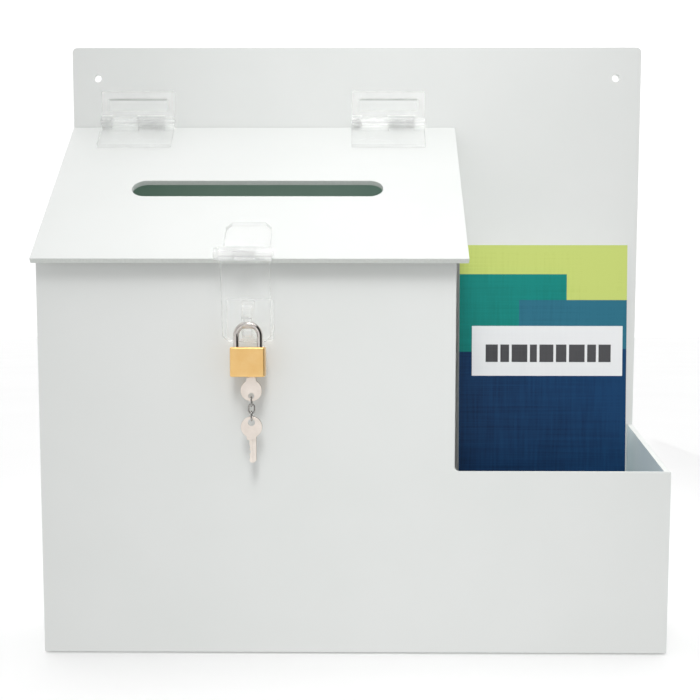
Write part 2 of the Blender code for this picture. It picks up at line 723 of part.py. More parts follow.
def make_pins():
    """Key pins ride in the plug. Driver pins and their springs stay in the body."""
    key_pins, fixed = [], []
    for i, z in enumerate(PIN_HEIGHTS):

        def pin(name, inner, outer, height=z):
            centre = PLUG + Vector((-(inner + outer) / 2, 0, height))
            obj = rod(f"{name}_{i + 1}", PIN_RADIUS, outer - inner, centre, ACROSS_X, FINE_ROUND)
            return finish_node(obj, "brass", smooth=True)

        key_pins.append(pin("key_pin", KEY_PIN_INNER, KEY_PIN_OUTER))
        fixed.append(pin("driver_pin", DRIVER_PIN_INNER, DRIVER_PIN_OUTER))
        start = PLUG + Vector((-DRIVER_PIN_OUTER - SPRING_WIRE - 0.0001, 0, z))
        length = CHAMBER_END - DRIVER_PIN_OUTER - 2 * SPRING_WIRE - 0.0002
        points = helix(start, Vector((-1, 0, 0)), Vector((0, 1, 0)), 0.0005, length, 3)
        fixed.append(finish_node(wire(f"pin_spring_{i + 1}", points, SPRING_WIRE), "steel", smooth=True))
    return key_pins, fixed


def make_latch():
    """The bolt that holds the toe, with a window for the plug's cam."""
    latch = block(
        "padlock_latch",
        PADLOCK + Vector((LATCH_LEFT, -LATCH_HALF_WIDTH, LATCH_BOTTOM)),
        PADLOCK + Vector((LATCH_RIGHT, LATCH_HALF_WIDTH, LATCH_TOP)),
    )
    left, right, near = LATCH_WINDOW
    window = block(
        "latch_window",
        PLUG + Vector((left, near, LATCH_BOTTOM - 0.001)),
        PLUG + Vector((right, 0.003, LATCH_TOP + 0.001)),
    )
    return finish_node(cut(latch, window), "steel")


def make_lock_springs():
    """The latch's spring lies in the channel behind it, and the shackle's spring under the heel."""
    gap = 0.0002
    latch_length = LATCH_LEFT - CHANNEL_LEFT - 2 * (gap + SPRING_WIRE)
    start = PADLOCK + Vector((CHANNEL_LEFT + gap + SPRING_WIRE, 0, (CHANNEL_BOTTOM + CHANNEL_TOP) / 2))
    coil = helix(start, Vector((1, 0, 0)), Vector((0, 1, 0)), 0.0006, latch_length, 3)
    latch_spring = finish_node(wire("latch_spring", coil, SPRING_WIRE), "steel", smooth=True)
    heel_wire = 0.0002
    heel_length = HEEL_BOTTOM - HEEL_BORE_BOTTOM - 2 * (gap + heel_wire)
    start = PADLOCK + Vector((-LEG_OFFSET, 0, HEEL_BORE_BOTTOM + gap + heel_wire))
    coil = helix(start, Vector((0, 0, 1)), Vector((1, 0, 0)), 0.0012, heel_length, 5)
    return latch_spring, finish_node(wire("shackle_spring", coil, heel_wire), "steel", smooth=True)


# Keys and chain


def key_outline(flip):
    """A round bow and its neck, drawn with the bow's centre at the origin and the blade's side at +Y."""
    spread = math.degrees(math.asin(NECK_HALF_WIDTH / BOW_RADIUS))
    points = arc((0, 0), BOW_RADIUS, 90 - spread, -270 + spread, 24)
    points += [(-NECK_HALF_WIDTH + 0.0004, NECK_LENGTH), (NECK_HALF_WIDTH - 0.0004, NECK_LENGTH)]
    return [(x, flip * y) for x, y in points]


def make_key(name, bow_height, hole_height, hole_radius, tip_height):
    """A flat key whose blade points up into the lock, or down when it hangs."""
    flip = 1 if tip_height > bow_height else -1
    centre = Matrix.Translation((PLUG.x, PLUG.y, bow_height)) @ ALONG_Y
    bow = plate(name, key_outline(flip), BOW_THICKNESS, centre)
    neck_end = flip * (NECK_LENGTH - 0.001)
    tip = tip_height - bow_height
    taper = flip * 0.0013
    blade_outline = [
        (BLADE_LEFT, neck_end),
        (BLADE_RIGHT, neck_end),
        (BLADE_RIGHT, tip - taper),
        (BLADE_RIGHT - 0.0012, tip),
        (BLADE_LEFT + 0.0009, tip),
        (BLADE_LEFT, tip - taper),
    ]
    blade = plate(name + "_blade", blade_outline, BLADE_THICKNESS, centre)
    hole = rod(name + "_hole", hole_radius, 0.01, (PLUG.x, PLUG.y, hole_height), ALONG_Y)
    return finish_node(cut(join(bow, blade), hole), "nickel")


def link_tops():
    """Heights of the three links' upper wire centres, and of the last one's lower wire centre."""
    step = 2 * LINK_WIRE_RADIUS + LINK_CLEARANCE
    first = KEY_HOLE_HEIGHT - KEY_HOLE_RADIUS + LINK_WIRE_RADIUS + RIM_CLEARANCE
    tops = [first - i * (LINK_PITCH - step) for i in range(3)]
    return tops, tops[-1] - LINK_PITCH


def make_link(number, top, across):
    """A long oval link, which hangs from the middle of its upper end."""
    r = LINK_HALF_WIDTH
    upper, lower = top - r, top - LINK_PITCH + r
    loop = arc((0, upper), r, 0, 180, 8) + arc((0, lower), r, 180, 360, 8)
    points = [tuple(PLUG + across * a + Vector((0, 0, z))) for a, z in loop]
    link = wire(f"chain_link_{number}", points, LINK_WIRE_RADIUS, cyclic=True)
    return finish_node(link, "steel", smooth=True)


def make_leaflets():
    left = from_left(LEAFLET_LEFT)
    bottom, front = SHEET + GAP, from_front(LEAFLET_FRONT_DEPTH)
    top = SHEET + LEAFLET_HEIGHT
    cover = block(
        "leaflet_front",
        (left, front, bottom),
        (left + LEAFLET_WIDTH, front + LEAFLET_THICKNESS, top),
    )
    # The first leaflet leans back against the stack's top, with its foot forward.
    rear_top = Matrix.Translation((0, front + LEAFLET_THICKNESS, top))
    cover.data.transform(rear_top @ Matrix.Rotation(-LEAFLET_LEAN, 4, "X") @ rear_top.inverted())
    stack = block(
        "leaflet_stack",
        (left, front + LEAFLET_THICKNESS + GAP, bottom),
        (left + LEAFLET_WIDTH, from_front(LEAFLET_STACK_REAR), top),
    )
    return finish_node(cover, "leaflet_print"), finish_node(stack, "leaflet_paper")


clear_scene()
BOX = new_collection("donation_box")
CUTTERS = new_collection("cutters", shown=False)
make_materials()

make_back_panel()
make_front_panel()
make_sloped_side("left_side_panel", from_left(0), 0)
make_sloped_side("divider_panel", from_left(MAIN_WIDTH - SHEET), SHEET + GAP)
make_pocket_side()
make_bottom_panel()
make_staple()

lid_pivot = pivot("lid_pivot", HINGE_AXIS)
hang(lid_pivot, make_lid_panel(), make_hasp_lid_leaf(), make_hasp_pin())
for hinge_side in HINGE_CENTRES:
    hang(lid_pivot, make_hinge(hinge_side)[1])
flap_pivot = pivot("hasp_flap_pivot", HASP_AXIS)
hang(lid_pivot, flap_pivot)
hang(flap_pivot, make_hasp_flap())

shackle_pivot = pivot("shackle_pivot", PADLOCK + Vector((0, 0, ARCH_TOP)))
padlock_pivot = pivot("padlock_pivot", PADLOCK)
plug_pivot = pivot("plug_pivot", PLUG)
hang(shackle_pivot, make_shackle(), padlock_pivot)
plug_pins, body_pins = make_pins()
hang(padlock_pivot, make_padlock_body(), make_latch(), *make_lock_springs(), *body_pins, plug_pivot)
hang(plug_pivot, make_plug(), *plug_pins)
door_key = make_key("padlock_key", KEY_BOW_HEIGHT, KEY_HOLE_HEIGHT, KEY_HOLE_RADIUS, KEY_TIP_HEIGHT)
hang(plug_pivot, door_key)

upper_wires, last_wire = link_tops()
above = plug_pivot
for link_number, (link_top, link_across) in enumerate(
    zip(upper_wires, (Vector((0, 1, 0)), Vector((1, 0, 0)), Vector((0, 1, 0)))), start=1
):
    link_pivot = pivot(f"chain_link_{link_number}_pivot", PLUG + Vector((0, 0, link_top)))
    hang(above, link_pivot)
    hang(link_pivot, make_link(link_number, link_top, link_across))
    above = link_pivot
spare_pivot = pivot("spare_key_pivot", PLUG + Vector((0, 0, last_wire)))
hang(above, spare_pivot)
hang(
    spare_pivot,
    make_key("spare_key", SPARE_BOW_HEIGHT, SPARE_HOLE_HEIGHT, SPARE_HOLE_RADIUS, SPARE_TIP_HEIGHT),
)
leaflet_pivot = pivot("leaflet_pivot", (0, 0, 0))
hang(leaflet_pivot, *make_leaflets())
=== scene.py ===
"""Looks for a wall-mountable donation box with a hinged, padlocked lid and a leaflet pocket."""

import json
import math
import random

import bmesh
import bpy
from mathutils import Matrix, Vector


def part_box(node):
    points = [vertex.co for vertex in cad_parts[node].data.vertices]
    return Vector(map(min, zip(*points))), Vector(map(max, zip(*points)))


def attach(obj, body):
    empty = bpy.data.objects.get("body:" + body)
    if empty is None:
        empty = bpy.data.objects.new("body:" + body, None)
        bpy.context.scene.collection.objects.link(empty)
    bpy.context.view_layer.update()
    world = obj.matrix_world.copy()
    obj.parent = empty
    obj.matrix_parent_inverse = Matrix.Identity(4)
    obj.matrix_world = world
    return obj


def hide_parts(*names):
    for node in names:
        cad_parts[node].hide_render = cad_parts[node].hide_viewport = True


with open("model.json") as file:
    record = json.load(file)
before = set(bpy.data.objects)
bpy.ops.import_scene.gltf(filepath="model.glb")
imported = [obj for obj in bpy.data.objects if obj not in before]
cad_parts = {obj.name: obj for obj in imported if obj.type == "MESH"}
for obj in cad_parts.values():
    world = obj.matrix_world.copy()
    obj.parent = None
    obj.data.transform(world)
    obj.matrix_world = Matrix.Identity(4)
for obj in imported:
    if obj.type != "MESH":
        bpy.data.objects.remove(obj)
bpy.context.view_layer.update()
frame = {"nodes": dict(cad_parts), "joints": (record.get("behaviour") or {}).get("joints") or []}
JOINTS = {joint["name"]: joint for joint in frame["joints"]}

# Sizes in metres, as in the CAD
WIDTH, DEPTH = 0.34925, 0.092
SHEET = 0.0032
SEAM = 0.00006
EDGE = 0.0003
MAIN_WIDTH = 0.2296
POCKET_FRONT_HEIGHT, POCKET_REAR_HEIGHT = 0.1024, 0.1213
LID_WIDTH, LID_OVERHANG = 0.2354, 0.0116
LID_FRONT_HEIGHT, LID_REAR_HEIGHT = 0.2183, 0.3053
LID_CLEARANCE = 0.0005
SLOT_LENGTH, SLOT_WIDTH = 0.1446, 0.0157
SLOT_CENTRE_X, SLOT_CENTRE_SLOPE = 0.118, 0.0661
GAP = 0.0003
LIFT = 0.00008
WALL_HOLE_INSET, WALL_HOLE_HEIGHT, WALL_HOLE_RADIUS = 0.0153, 0.3346, 0.00225
EYE_X, EYE_WIDTH = 0.1168, 0.0055
SHARP_ANGLE = math.radians(32)
FLAT = 0.999


def from_left(x):
    return x - WIDTH / 2


def from_front(y):
    return y - DEPTH / 2


LID_ANGLE = math.atan2(LID_REAR_HEIGHT - LID_FRONT_HEIGHT, DEPTH - SHEET + LID_OVERHANG)
LID_FRAME = Matrix.Translation((0, from_front(-LID_OVERHANG), LID_FRONT_HEIGHT)) @ Matrix.Rotation(
    LID_ANGLE, 4, "X"
)
HINGE_AXIS = Vector(JOINTS["lid_hinge"]["pos_m"])
HASP_AXIS = Vector(JOINTS["hasp_flap_hinge"]["pos_m"])
SHACKLE_AXIS = Vector(JOINTS["padlock_swing"]["pos_m"])
PADLOCK = Vector((SHACKLE_AXIS.x, SHACKLE_AXIS.y, 0))
PLUG = Vector((JOINTS["key_turn"]["pos_m"][0], SHACKLE_AXIS.y, 0))
LINK_TOPS = [JOINTS[f"chain_{i}_swing"]["pos_m"][2] for i in (1, 2, 3)]
LAST_WIRE = JOINTS["spare_key_swing"]["pos_m"][2]
ACROSS_X = Matrix.Rotation(math.pi / 2, 4, "Y")
ALONG_Y = Matrix.Rotation(math.pi / 2, 4, "X")
FACING_X = Matrix(((0, 0, 1, 0), (1, 0, 0, 0), (0, 1, 0, 0), (0, 0, 0, 1)))


# Materials


class Nodes:
    """A Principled material being wired up."""

    def __init__(self, name, **settings):
        self.material = bpy.data.materials.new(name)
        self.material.use_nodes = True
        self.tree = self.material.node_tree
        self.shader = self.tree.nodes["Principled BSDF"]
        for socket, value in settings.items():
            self.shader.inputs[socket.replace("_", " ")].default_value = value
        self.coordinates = self.tree.nodes.new("ShaderNodeTexCoord").outputs["Object"]

    def link(self, output, target):
        self.tree.links.new(output, target)

    def noise(self, scale, detail=3.0, stretch=(1, 1, 1), roughness=0.5):
        mapping = self.tree.nodes.new("ShaderNodeMapping")
        mapping.inputs["Scale"].default_value = stretch
        self.link(self.coordinates, mapping.inputs["Vector"])
        texture = self.tree.nodes.new("ShaderNodeTexNoise")
        texture.inputs["Scale"].default_value = scale
        texture.inputs["Detail"].default_value = detail
        texture.inputs["Roughness"].default_value = roughness
        self.link(mapping.outputs["Vector"], texture.inputs["Vector"])
        return texture.outputs["Fac"]

    def total(self, first, second):
        """The sum of two values."""
        node = self.tree.nodes.new("ShaderNodeMath")
        self.link(first, node.inputs[0])
        self.link(second, node.inputs[1])
        return node.outputs[0]

    def share(self, value, start, end):
        """Goes from 0 to 1 as the value goes from start to end."""
        node = self.tree.nodes.new("ShaderNodeMapRange")
        node.inputs["From Min"].default_value, node.inputs["From Max"].default_value = start, end
        self.link(value, node.inputs["Value"])
        return node.outputs[0]

    def rise(self, direction, start, end):
        """Goes from 0 to 1 along a direction of the object, from one distance to another."""
        along = self.tree.nodes.new("ShaderNodeVectorMath")
        along.operation = "DOT_PRODUCT"
        along.inputs[1].default_value = direction
        self.link(self.coordinates, along.inputs[0])
        return self.share(along.outputs["Value"], start, end)

    def ramp(self, value, low, high, start=0.3, end=0.7):
        """A value or a colour that goes from low to high as the input goes from start to end."""
        ramp = self.tree.nodes.new("ShaderNodeValToRGB")
        first, last = ramp.color_ramp.elements
        first.position, last.position = start, end
        if isinstance(low, (int, float)):
            low, high = (low,) * 3, (high,) * 3
        first.color, last.color = (*low, 1), (*high, 1)
        self.link(value, ramp.inputs["Fac"])
        return ramp.outputs["Color"]

    def set(self, socket, output):
        self.link(output, self.shader.inputs[socket])

    def bump(self, height, strength, distance):
        bump = self.tree.nodes.new("ShaderNodeBump")
        bump.inputs["Strength"].default_value = strength
        bump.inputs["Distance"].default_value = distance
        self.link(height, bump.inputs["Height"])
        self.link(bump.outputs["Normal"], self.shader.inputs["Normal"])


def sheet_material(name, low, high, roughness, glow=(0, 0, 0)):
    """White extruded sheet: an almost even colour, with a faint surface ripple and handling haze.

    Inside the box and in the pocket it can also be given a faint painted glow: painted light that stands in
    for the light the sheet lets through.
    """
    nodes = Nodes(name, Specular_IOR_Level=0.4, Emission_Color=(*glow, 1), Emission_Strength=1.0)
    nodes.set("Base Color", nodes.ramp(nodes.noise(14, 4), low, high))
    nodes.set("Roughness", nodes.ramp(nodes.noise(60, 5), roughness - 0.05, roughness + 0.06))
    nodes.bump(nodes.noise(420, 2), 0.06, 0.0002)
    return nodes.material


def edge_material(name, low, high):
    """The sheet's cut edges, with fine saw marks."""
    nodes = Nodes(name, Specular_IOR_Level=0.3)
    marks = nodes.noise(900, 2)
    nodes.set("Base Color", nodes.ramp(marks, low, high))
    nodes.set("Roughness", nodes.ramp(marks, 0.5, 0.68))
    nodes.bump(marks, 0.15, 0.0002)
    return nodes.material


def clear_material(name, low, high, clearness, alpha):
    """Clear moulded plastic: partly refracting, partly plain see-through, with faint flow marks."""
    nodes = Nodes(name, Transmission_Weight=clearness, IOR=1.45, Alpha=alpha)
    flow = nodes.noise(90, 3, (1, 1, 0.4))
    nodes.set("Base Color", nodes.ramp(flow, low, high))
    nodes.set("Roughness", nodes.ramp(nodes.noise(300, 3), 0.02, 0.06))
    nodes.bump(flow, 0.05, 0.0003)
    return nodes.material


def metal_material(name, low, high, roughness, brush=(1, 1, 1), brush_scale=900, strength=0.1):
    """Metal with fine tool or brush marks, a slow change of tone and a little unevenness in its shine."""
    nodes = Nodes(name, Metallic=1.0)
    marks = nodes.noise(brush_scale, 3, brush)
    nodes.set("Base Color", nodes.ramp(nodes.noise(180, 4), low, high))
    nodes.set("Roughness", nodes.ramp(marks, roughness - 0.06, roughness + 0.08))
    nodes.bump(marks, strength, 0.00005)
    return nodes.material


def ink_material(name, low, high):
    """Coated paper printed in one colour: fine streaks both ways over a slow change of tone, and a painted
    sheen that lightens it towards the top right.
    """
    nodes = Nodes(name, Specular_IOR_Level=0.2)
    streaks = nodes.total(nodes.noise(60, 3, (13, 13, 0.2)), nodes.noise(60, 3, (0.3, 0.3, 22)))
    # The noise is a random change of tone; the rise towards the top right is a painted sheen.
    slow = nodes.total(nodes.noise(22, 2), nodes.rise((2.6, 0, 2.6), 0.35, 0.9))
    tone = nodes.share(nodes.total(streaks, slow), 1.25, 2.4)
    nodes.set("Base Color", nodes.ramp(tone, low, high, 0, 1))
    nodes.set("Roughness", nodes.ramp(nodes.noise(500, 2), 0.42, 0.5))
    nodes.bump(nodes.noise(1600, 2), 0.05, 0.0001)
    return nodes.material


def paper_material():
    nodes = Nodes("paper_white", Specular_IOR_Level=0.3)
    fibre = nodes.noise(700, 4, (1, 1, 3))
    nodes.set("Base Color", nodes.ramp(fibre, (0.84, 0.84, 0.83), (0.9, 0.9, 0.89)))
    nodes.set("Roughness", nodes.ramp(fibre, 0.6, 0.75))
    nodes.bump(fibre, 0.1, 0.0001)
    return nodes.material


WHITE = sheet_material("white_sheet_face", (0.765, 0.785, 0.768), (0.79, 0.806, 0.792), 0.4)
# The inside of the box: painted shade, darker and greener than the face, with a faint painted glow.
INSIDE_SHADE_AND_GLOW = sheet_material(
    "white_sheet_inside_painted_shade_and_glow", (0.66, 0.74, 0.68), (0.7, 0.78, 0.72), 0.5, (0.022, 0.042, 0.03)
)
# The pocket's inner walls: a bluish tone with a painted glow that lightens the shade in the pocket.
POCKET_PAINTED_GLOW = sheet_material(
    "white_sheet_in_pocket_painted_glow", (0.74, 0.78, 0.79), (0.77, 0.81, 0.82), 0.45, (0.08, 0.11, 0.12)
)
# Cut edges lighter than the faces: a painted highlight.
CUT_EDGE_HIGHLIGHT = edge_material("sheet_cut_edge_painted_highlight", (0.86, 0.88, 0.86), (0.9, 0.92, 0.9))
# The lid's front cut edges, which face down: greyer and greener, a painted shade.
LID_EDGE_SHADE = edge_material("lid_cut_edge_painted_shade", (0.69, 0.72, 0.69), (0.75, 0.78, 0.75))
CLEAR = clear_material("clear_moulding", (0.95, 0.96, 0.96), (1.0, 1.0, 1.0), 1.0, 0.13)
# The hinge leaves' raised border: milkier and lighter than the faces, painted light.
CLEAR_FRAME_PAINTED_LIGHT = clear_material("clear_moulding_frame_painted_light", (0.93, 0.92, 0.92), (0.98, 0.97, 0.97), 0.3, 0.4)
# Edges and round parts: more opaque and milky white than the faces, a painted highlight.
CLEAR_EDGE_PAINTED_HIGHLIGHT = clear_material("clear_moulding_edge_painted_highlight", (0.93, 0.94, 0.93), (1.0, 1.0, 1.0), 0.7, 0.5)
# A dark painted shade for the top wall of the leaves' recess.
CLEAR_PAINTED_SHADE = clear_material("clear_moulding_painted_shade", (0.3, 0.33, 0.31), (0.45, 0.48, 0.46), 0.5, 0.6)
BRASS = metal_material("brushed_brass", (0.88, 0.55, 0.21), (0.93, 0.63, 0.275), 0.34, (1, 1, 9), 500, 0.3)
BRASS_PIN = metal_material("turned_brass", (0.72, 0.47, 0.17), (0.82, 0.56, 0.22), 0.25)
POLISHED = metal_material("polished_steel", (0.6, 0.56, 0.53), (0.68, 0.64, 0.61), 0.08, strength=0.04)
STEEL = metal_material("plain_steel", (0.5, 0.5, 0.5), (0.62, 0.62, 0.62), 0.28)
NICKEL = metal_material("nickel_plate", (0.8, 0.72, 0.65), (0.9, 0.82, 0.75), 0.34, strength=0.15)
# The keys' edges: a dark copy of the nickel, painted shade.
KEY_EDGE_SHADE = metal_material("nickel_edge_painted_shade", (0.32, 0.29, 0.26), (0.45, 0.41, 0.37), 0.3)
CHAIN = metal_material("chain_steel", (0.34, 0.33, 0.32), (0.46, 0.45, 0.43), 0.16)
PAPER = paper_material()
LIME = ink_material("ink_lime", (0.49, 0.59, 0.125), (0.6, 0.7, 0.19))
TEAL = ink_material("ink_teal", (0.0, 0.165, 0.14), (0.003, 0.255, 0.222))
BLUE = ink_material("ink_blue", (0.012, 0.11, 0.175), (0.025, 0.168, 0.25))
NAVY = ink_material("ink_navy", (0.0, 0.014, 0.055), (0.004, 0.05, 0.148))
LABEL = ink_material("label_white", (0.84, 0.85, 0.86), (0.88, 0.89, 0.9))
INK = ink_material("label_grey", (0.055, 0.055, 0.06), (0.085, 0.085, 0.09))


# Shapes


def new_object(name, shape):
    mesh = bpy.data.meshes.new(name)
    shape.to_mesh(mesh)
    shape.free()
    obj = bpy.data.objects.new(name, mesh)
    bpy.context.scene.collection.objects.link(obj)
    return obj


def round_edges(shape, width, least_angle=40, segments=2):
    """Rounds the edges that are sharper than an angle."""
    edges = [
        edge
        for edge in shape.edges
        if len(edge.link_faces) == 2 and edge.calc_face_angle() > math.radians(least_angle)
    ]
    if width and edges:
        bmesh.ops.bevel(
            shape, geom=edges, offset=width, offset_type="OFFSET", segments=segments,
            profile=0.5, affect="EDGES", clamp_overlap=False,
        )


def plate(name, outline, thickness, place, edge=EDGE, segments=2):
    """A flat outline given thickness on both sides of its plane, with rounded edges, then placed."""
    shape = bmesh.new()
    rings = [
        [shape.verts.new((x, y, side * thickness / 2)) for x, y in outline] for side in (-1, 1)
    ]
    for ring in rings:
        shape.faces.new(ring)
    for i in range(len(outline)):
        shape.faces.new((rings[0][i - 1], rings[0][i], rings[1][i], rings[1][i - 1]))
    bmesh.ops.recalc_face_normals(shape, faces=shape.faces)
    round_edges(shape, edge, segments=segments)
    shape.transform(place)
    bmesh.ops.recalc_face_normals(shape, faces=shape.faces)
    return new_object(name, shape)


def block(name, low, high, edge=EDGE, segments=2, place=None):
    low, high = Vector(low), Vector(high)
    shape = bmesh.new()
    bmesh.ops.create_cube(shape, size=1)
    bmesh.ops.scale(shape, vec=high - low, verts=shape.verts)
    bmesh.ops.translate(shape, vec=(low + high) / 2, verts=shape.verts)
    round_edges(shape, edge, segments=segments)
    if place:
        shape.transform(place)
        bmesh.ops.recalc_face_normals(shape, faces=shape.faces)
    return new_object(name, shape)


def rod(name, radius, length, centre, turn=None, edge=0.0, segments=48, end_radius=None):
    shape = bmesh.new()
    bmesh.ops.create_cone(
        shape, cap_ends=True, segments=segments, radius1=radius,
        radius2=radius if end_radius is None else end_radius, depth=length,
    )
    round_edges(shape, edge, 60)
    shape.transform(Matrix.Translation(centre) @ (turn or Matrix.Identity(4)))
    return new_object(name, shape)


def arc(centre, radius, start, end, steps=12):
    angles = [math.radians(start + (end - start) * i / steps) for i in range(steps + 1)]
    return [(centre[0] + radius * math.cos(a), centre[1] + radius * math.sin(a)) for a in angles]


def rounded(left, bottom, right, top, radius, steps=8):
    """A rectangle's outline with four round corners."""
    points = arc((right - radius, bottom + radius), radius, -90, 0, steps)
    points += arc((right - radius, top - radius), radius, 0, 90, steps)
    points += arc((left + radius, top - radius), radius, 90, 180, steps)
    return points + arc((left + radius, bottom + radius), radius, 180, 270, steps)


def tube(name, points, radius, cyclic=False, sides=20):
    """A round wire along the points."""
    curve = bpy.data.curves.new(name, "CURVE")
    curve.dimensions = "3D"
    spline = curve.splines.new("POLY")
    spline.points.add(len(points) - 1)
    for point, place in zip(spline.points, points):
        point.co = (*place, 1)
    spline.use_cyclic_u = cyclic
    curve.bevel_depth = radius
    curve.bevel_resolution = sides // 4
    curve.use_fill_caps = not cyclic
    obj = bpy.data.objects.new(name, curve)
    bpy.context.scene.collection.objects.link(obj)
    made = settled(obj)
    shape = bmesh.new()
    shape.from_mesh(made)
    bmesh.ops.remove_doubles(shape, verts=shape.verts, dist=1e-6)
    bmesh.ops.recalc_face_normals(shape, faces=shape.faces)
    bpy.data.objects.remove(obj)
    return new_object(name, shape)


def settled(obj):
    bpy.context.view_layer.update()
    graph = bpy.context.evaluated_depsgraph_get()
    return bpy.data.meshes.new_from_object(obj.evaluated_get(graph))


def combine(target, operation, others):
    """Joins or cuts solids, applies the result and removes the helpers."""
    for other in others:
        modifier = target.modifiers.new(other.name, "BOOLEAN")
        modifier.operation = operation
        modifier.object = other
        modifier.solver = "EXACT"
    made = settled(target)
    target.modifiers.clear()
    target.data = made
    for other in others:
        bpy.data.objects.remove(other)
    return target


def cut(target, *others):
    return combine(target, "DIFFERENCE", others)


def join(target, *others):
    return combine(target, "UNION", others)


def soften(obj, width):
    """Rounds the sharp edges of a finished mesh."""
    shape = bmesh.new()
    shape.from_mesh(obj.data)
    bmesh.ops.dissolve_limit(
        shape, angle_limit=math.radians(0.5), verts=shape.verts, edges=shape.edges
    )
    round_edges(shape, width)
    shape.to_mesh(obj.data)
    shape.free()


def finish_piece(obj, body, material, slot, *nodes):
    """Gives a piece its material, its body and the CAD nodes that it stands for. Its slot is not used."""
    obj.data.materials.clear()
    obj.data.materials.append(material)
    obj.data.shade_smooth()
    obj.data.set_sharp_from_angle(angle=SHARP_ANGLE)
    obj.modifiers.new("even_shading", "WEIGHTED_NORMAL").keep_sharp = True
    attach(obj, body)
    if nodes:
        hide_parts(*nodes)


def mark_cut_edges(obj, normal, material, least=0.3):
    """Gives its own material to each face that turns further from the given normal than the least share."""
    obj.data.materials.append(material)
    number = len(obj.data.materials) - 1
    normal = Vector(normal).normalized()
    for face in obj.data.polygons:
        if abs(face.normal.dot(normal)) < least:
            face.material_index = number


def clear_piece(obj, body, normal, *nodes):
    """A piece of clear plastic, whose edges and round parts show more than its flat faces: they are milkier
    and lighter, a painted highlight.

    Light goes through it, so it shades only the lid, where it lies on the brightest face.
    """
    finish_piece(obj, body, CLEAR, "clear_acrylic", *nodes)
    obj.visible_shadow = body == "lid"
    # Edges and round parts get the milkier clear material, a painted highlight.
    mark_cut_edges(obj, normal, CLEAR_EDGE_PAINTED_HIGHLIGHT, FLAT)


def facing_front(y):
    """Places an outline of X and Z at a depth."""
    return Matrix.Translation((0, y, 0)) @ ALONG_Y


def facing_side(x):
    """Places an outline of Y and Z at a width."""
    return Matrix.Translation((x, 0, 0)) @ FACING_X


# Panels


def lid_underside(y):
    """The height of the lid's lower face at a depth."""
    rise = (y - from_front(-LID_OVERHANG)) * math.tan(LID_ANGLE)
    return LID_FRONT_HEIGHT + rise - SHEET / math.cos(LID_ANGLE)


def mark_inside(panel):
    """Splits the back panel's front face at the lid and the divider, and gives the part inside painted
    shade, darker and greener, with a faint painted glow.
    """
    divider = from_left(MAIN_WIDTH)
    shape = bmesh.new()
    shape.from_mesh(panel.data)
    lid_rear = LID_REAR_HEIGHT - SHEET
    for place, normal in (((0, 0, lid_rear), (0, 0, 1)), ((divider, 0, 0), (1, 0, 0))):
        parts = [*shape.verts, *shape.edges, *shape.faces]
        bmesh.ops.bisect_plane(shape, geom=parts, plane_co=place, plane_no=normal, dist=1e-6)
    for face in shape.faces:
        middle = face.calc_center_median()
        if face.normal.y < -0.9 and middle.z < lid_rear and middle.x < divider:
            face.material_index = 2
    shape.to_mesh(panel.data)
    shape.free()
    panel.data.materials.append(INSIDE_SHADE_AND_GLOW)


def sheet_piece(obj, body, normal, node):
    """A panel of white sheet. Its cut edges are lighter than its faces, a painted highlight; the lid's cut
    edges that face the front are greyer, a painted shade.
    """
    finish_piece(obj, body, WHITE, "white_sheet", node)
    # Cut edges get a lighter material, a painted highlight.
    mark_cut_edges(obj, normal, CUT_EDGE_HIGHLIGHT)
    # The lid's cut edges that face the front and down get painted shade.
    if body == "lid":
        obj.data.materials.append(LID_EDGE_SHADE)
        for face in obj.data.polygons:
            if face.material_index == 1 and face.normal.y < -0.2:
                face.material_index = 2


def make_back():
    low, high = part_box("back_panel")
    y = (low.y + high.y) / 2
    outline = rounded(low.x, low.z - 0.01, high.x, high.z, 0.003)
    outline = [(x, max(z, low.z)) for x, z in outline if z > low.z - 0.005]
    outline += [(low.x, low.z), (high.x, low.z)]
    panel = plate("back_panel_sheet", outline, SHEET, facing_front(y), 0)
    holes = [
        rod(
            f"wall_hole_{side}",
            WALL_HOLE_RADIUS,
            0.02,
            (side * (WIDTH / 2 - WALL_HOLE_INSET), y, WALL_HOLE_HEIGHT),
            ALONG_Y,
        )
        for side in (-1, 1)
    ]
    soften(cut(panel, *holes), EDGE)
    sheet_piece(panel, "box", (0, 1, 0), "back_panel")
    mark_inside(panel)


def make_front():
    low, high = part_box("front_panel")
    y, step, radius = (low.y + high.y) / 2, from_left(MAIN_WIDTH), 0.003
    pocket = POCKET_FRONT_HEIGHT
    outline = [(low.x, low.z), (high.x, low.z), (high.x, pocket)]
    outline += arc((step + radius, pocket + radius), radius, 270, 180, 8)
    outline += [(step, high.z), (low.x, high.z)]
    panel = plate("front_panel_sheet", outline, SHEET, facing_front(y))
    sheet_piece(panel, "box", (0, 1, 0), "front_panel")


def make_sides():
    front, rear = from_front(SHEET + SEAM), DEPTH / 2 - SHEET - SEAM
    sloped = [(rear, lid_underside(rear) - GAP), (front, lid_underside(front) - GAP)]
    for node, bottom, top in (
        ("left_side_panel", 0, sloped),
        ("divider_panel", SHEET + SEAM, sloped),
        ("pocket_side_panel", 0, [(rear, POCKET_REAR_HEIGHT), (front, POCKET_FRONT_HEIGHT)]),
    ):
        low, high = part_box(node)
        x = (low.x + high.x) / 2
        panel = plate(node + "_sheet", [(front, bottom), (rear, bottom), *top], SHEET, facing_side(x))
        sheet_piece(panel, "box", (1, 0, 0), node)
        if node != "left_side_panel":
            towards_pocket = -1 if node == "pocket_side_panel" else 1
            # The sides that face into the pocket get the pocket's painted glow.
            panel.data.materials.append(POCKET_PAINTED_GLOW)
            for face in panel.data.polygons:
                if face.normal.x * towards_pocket > 0.9:
                    face.material_index = 2


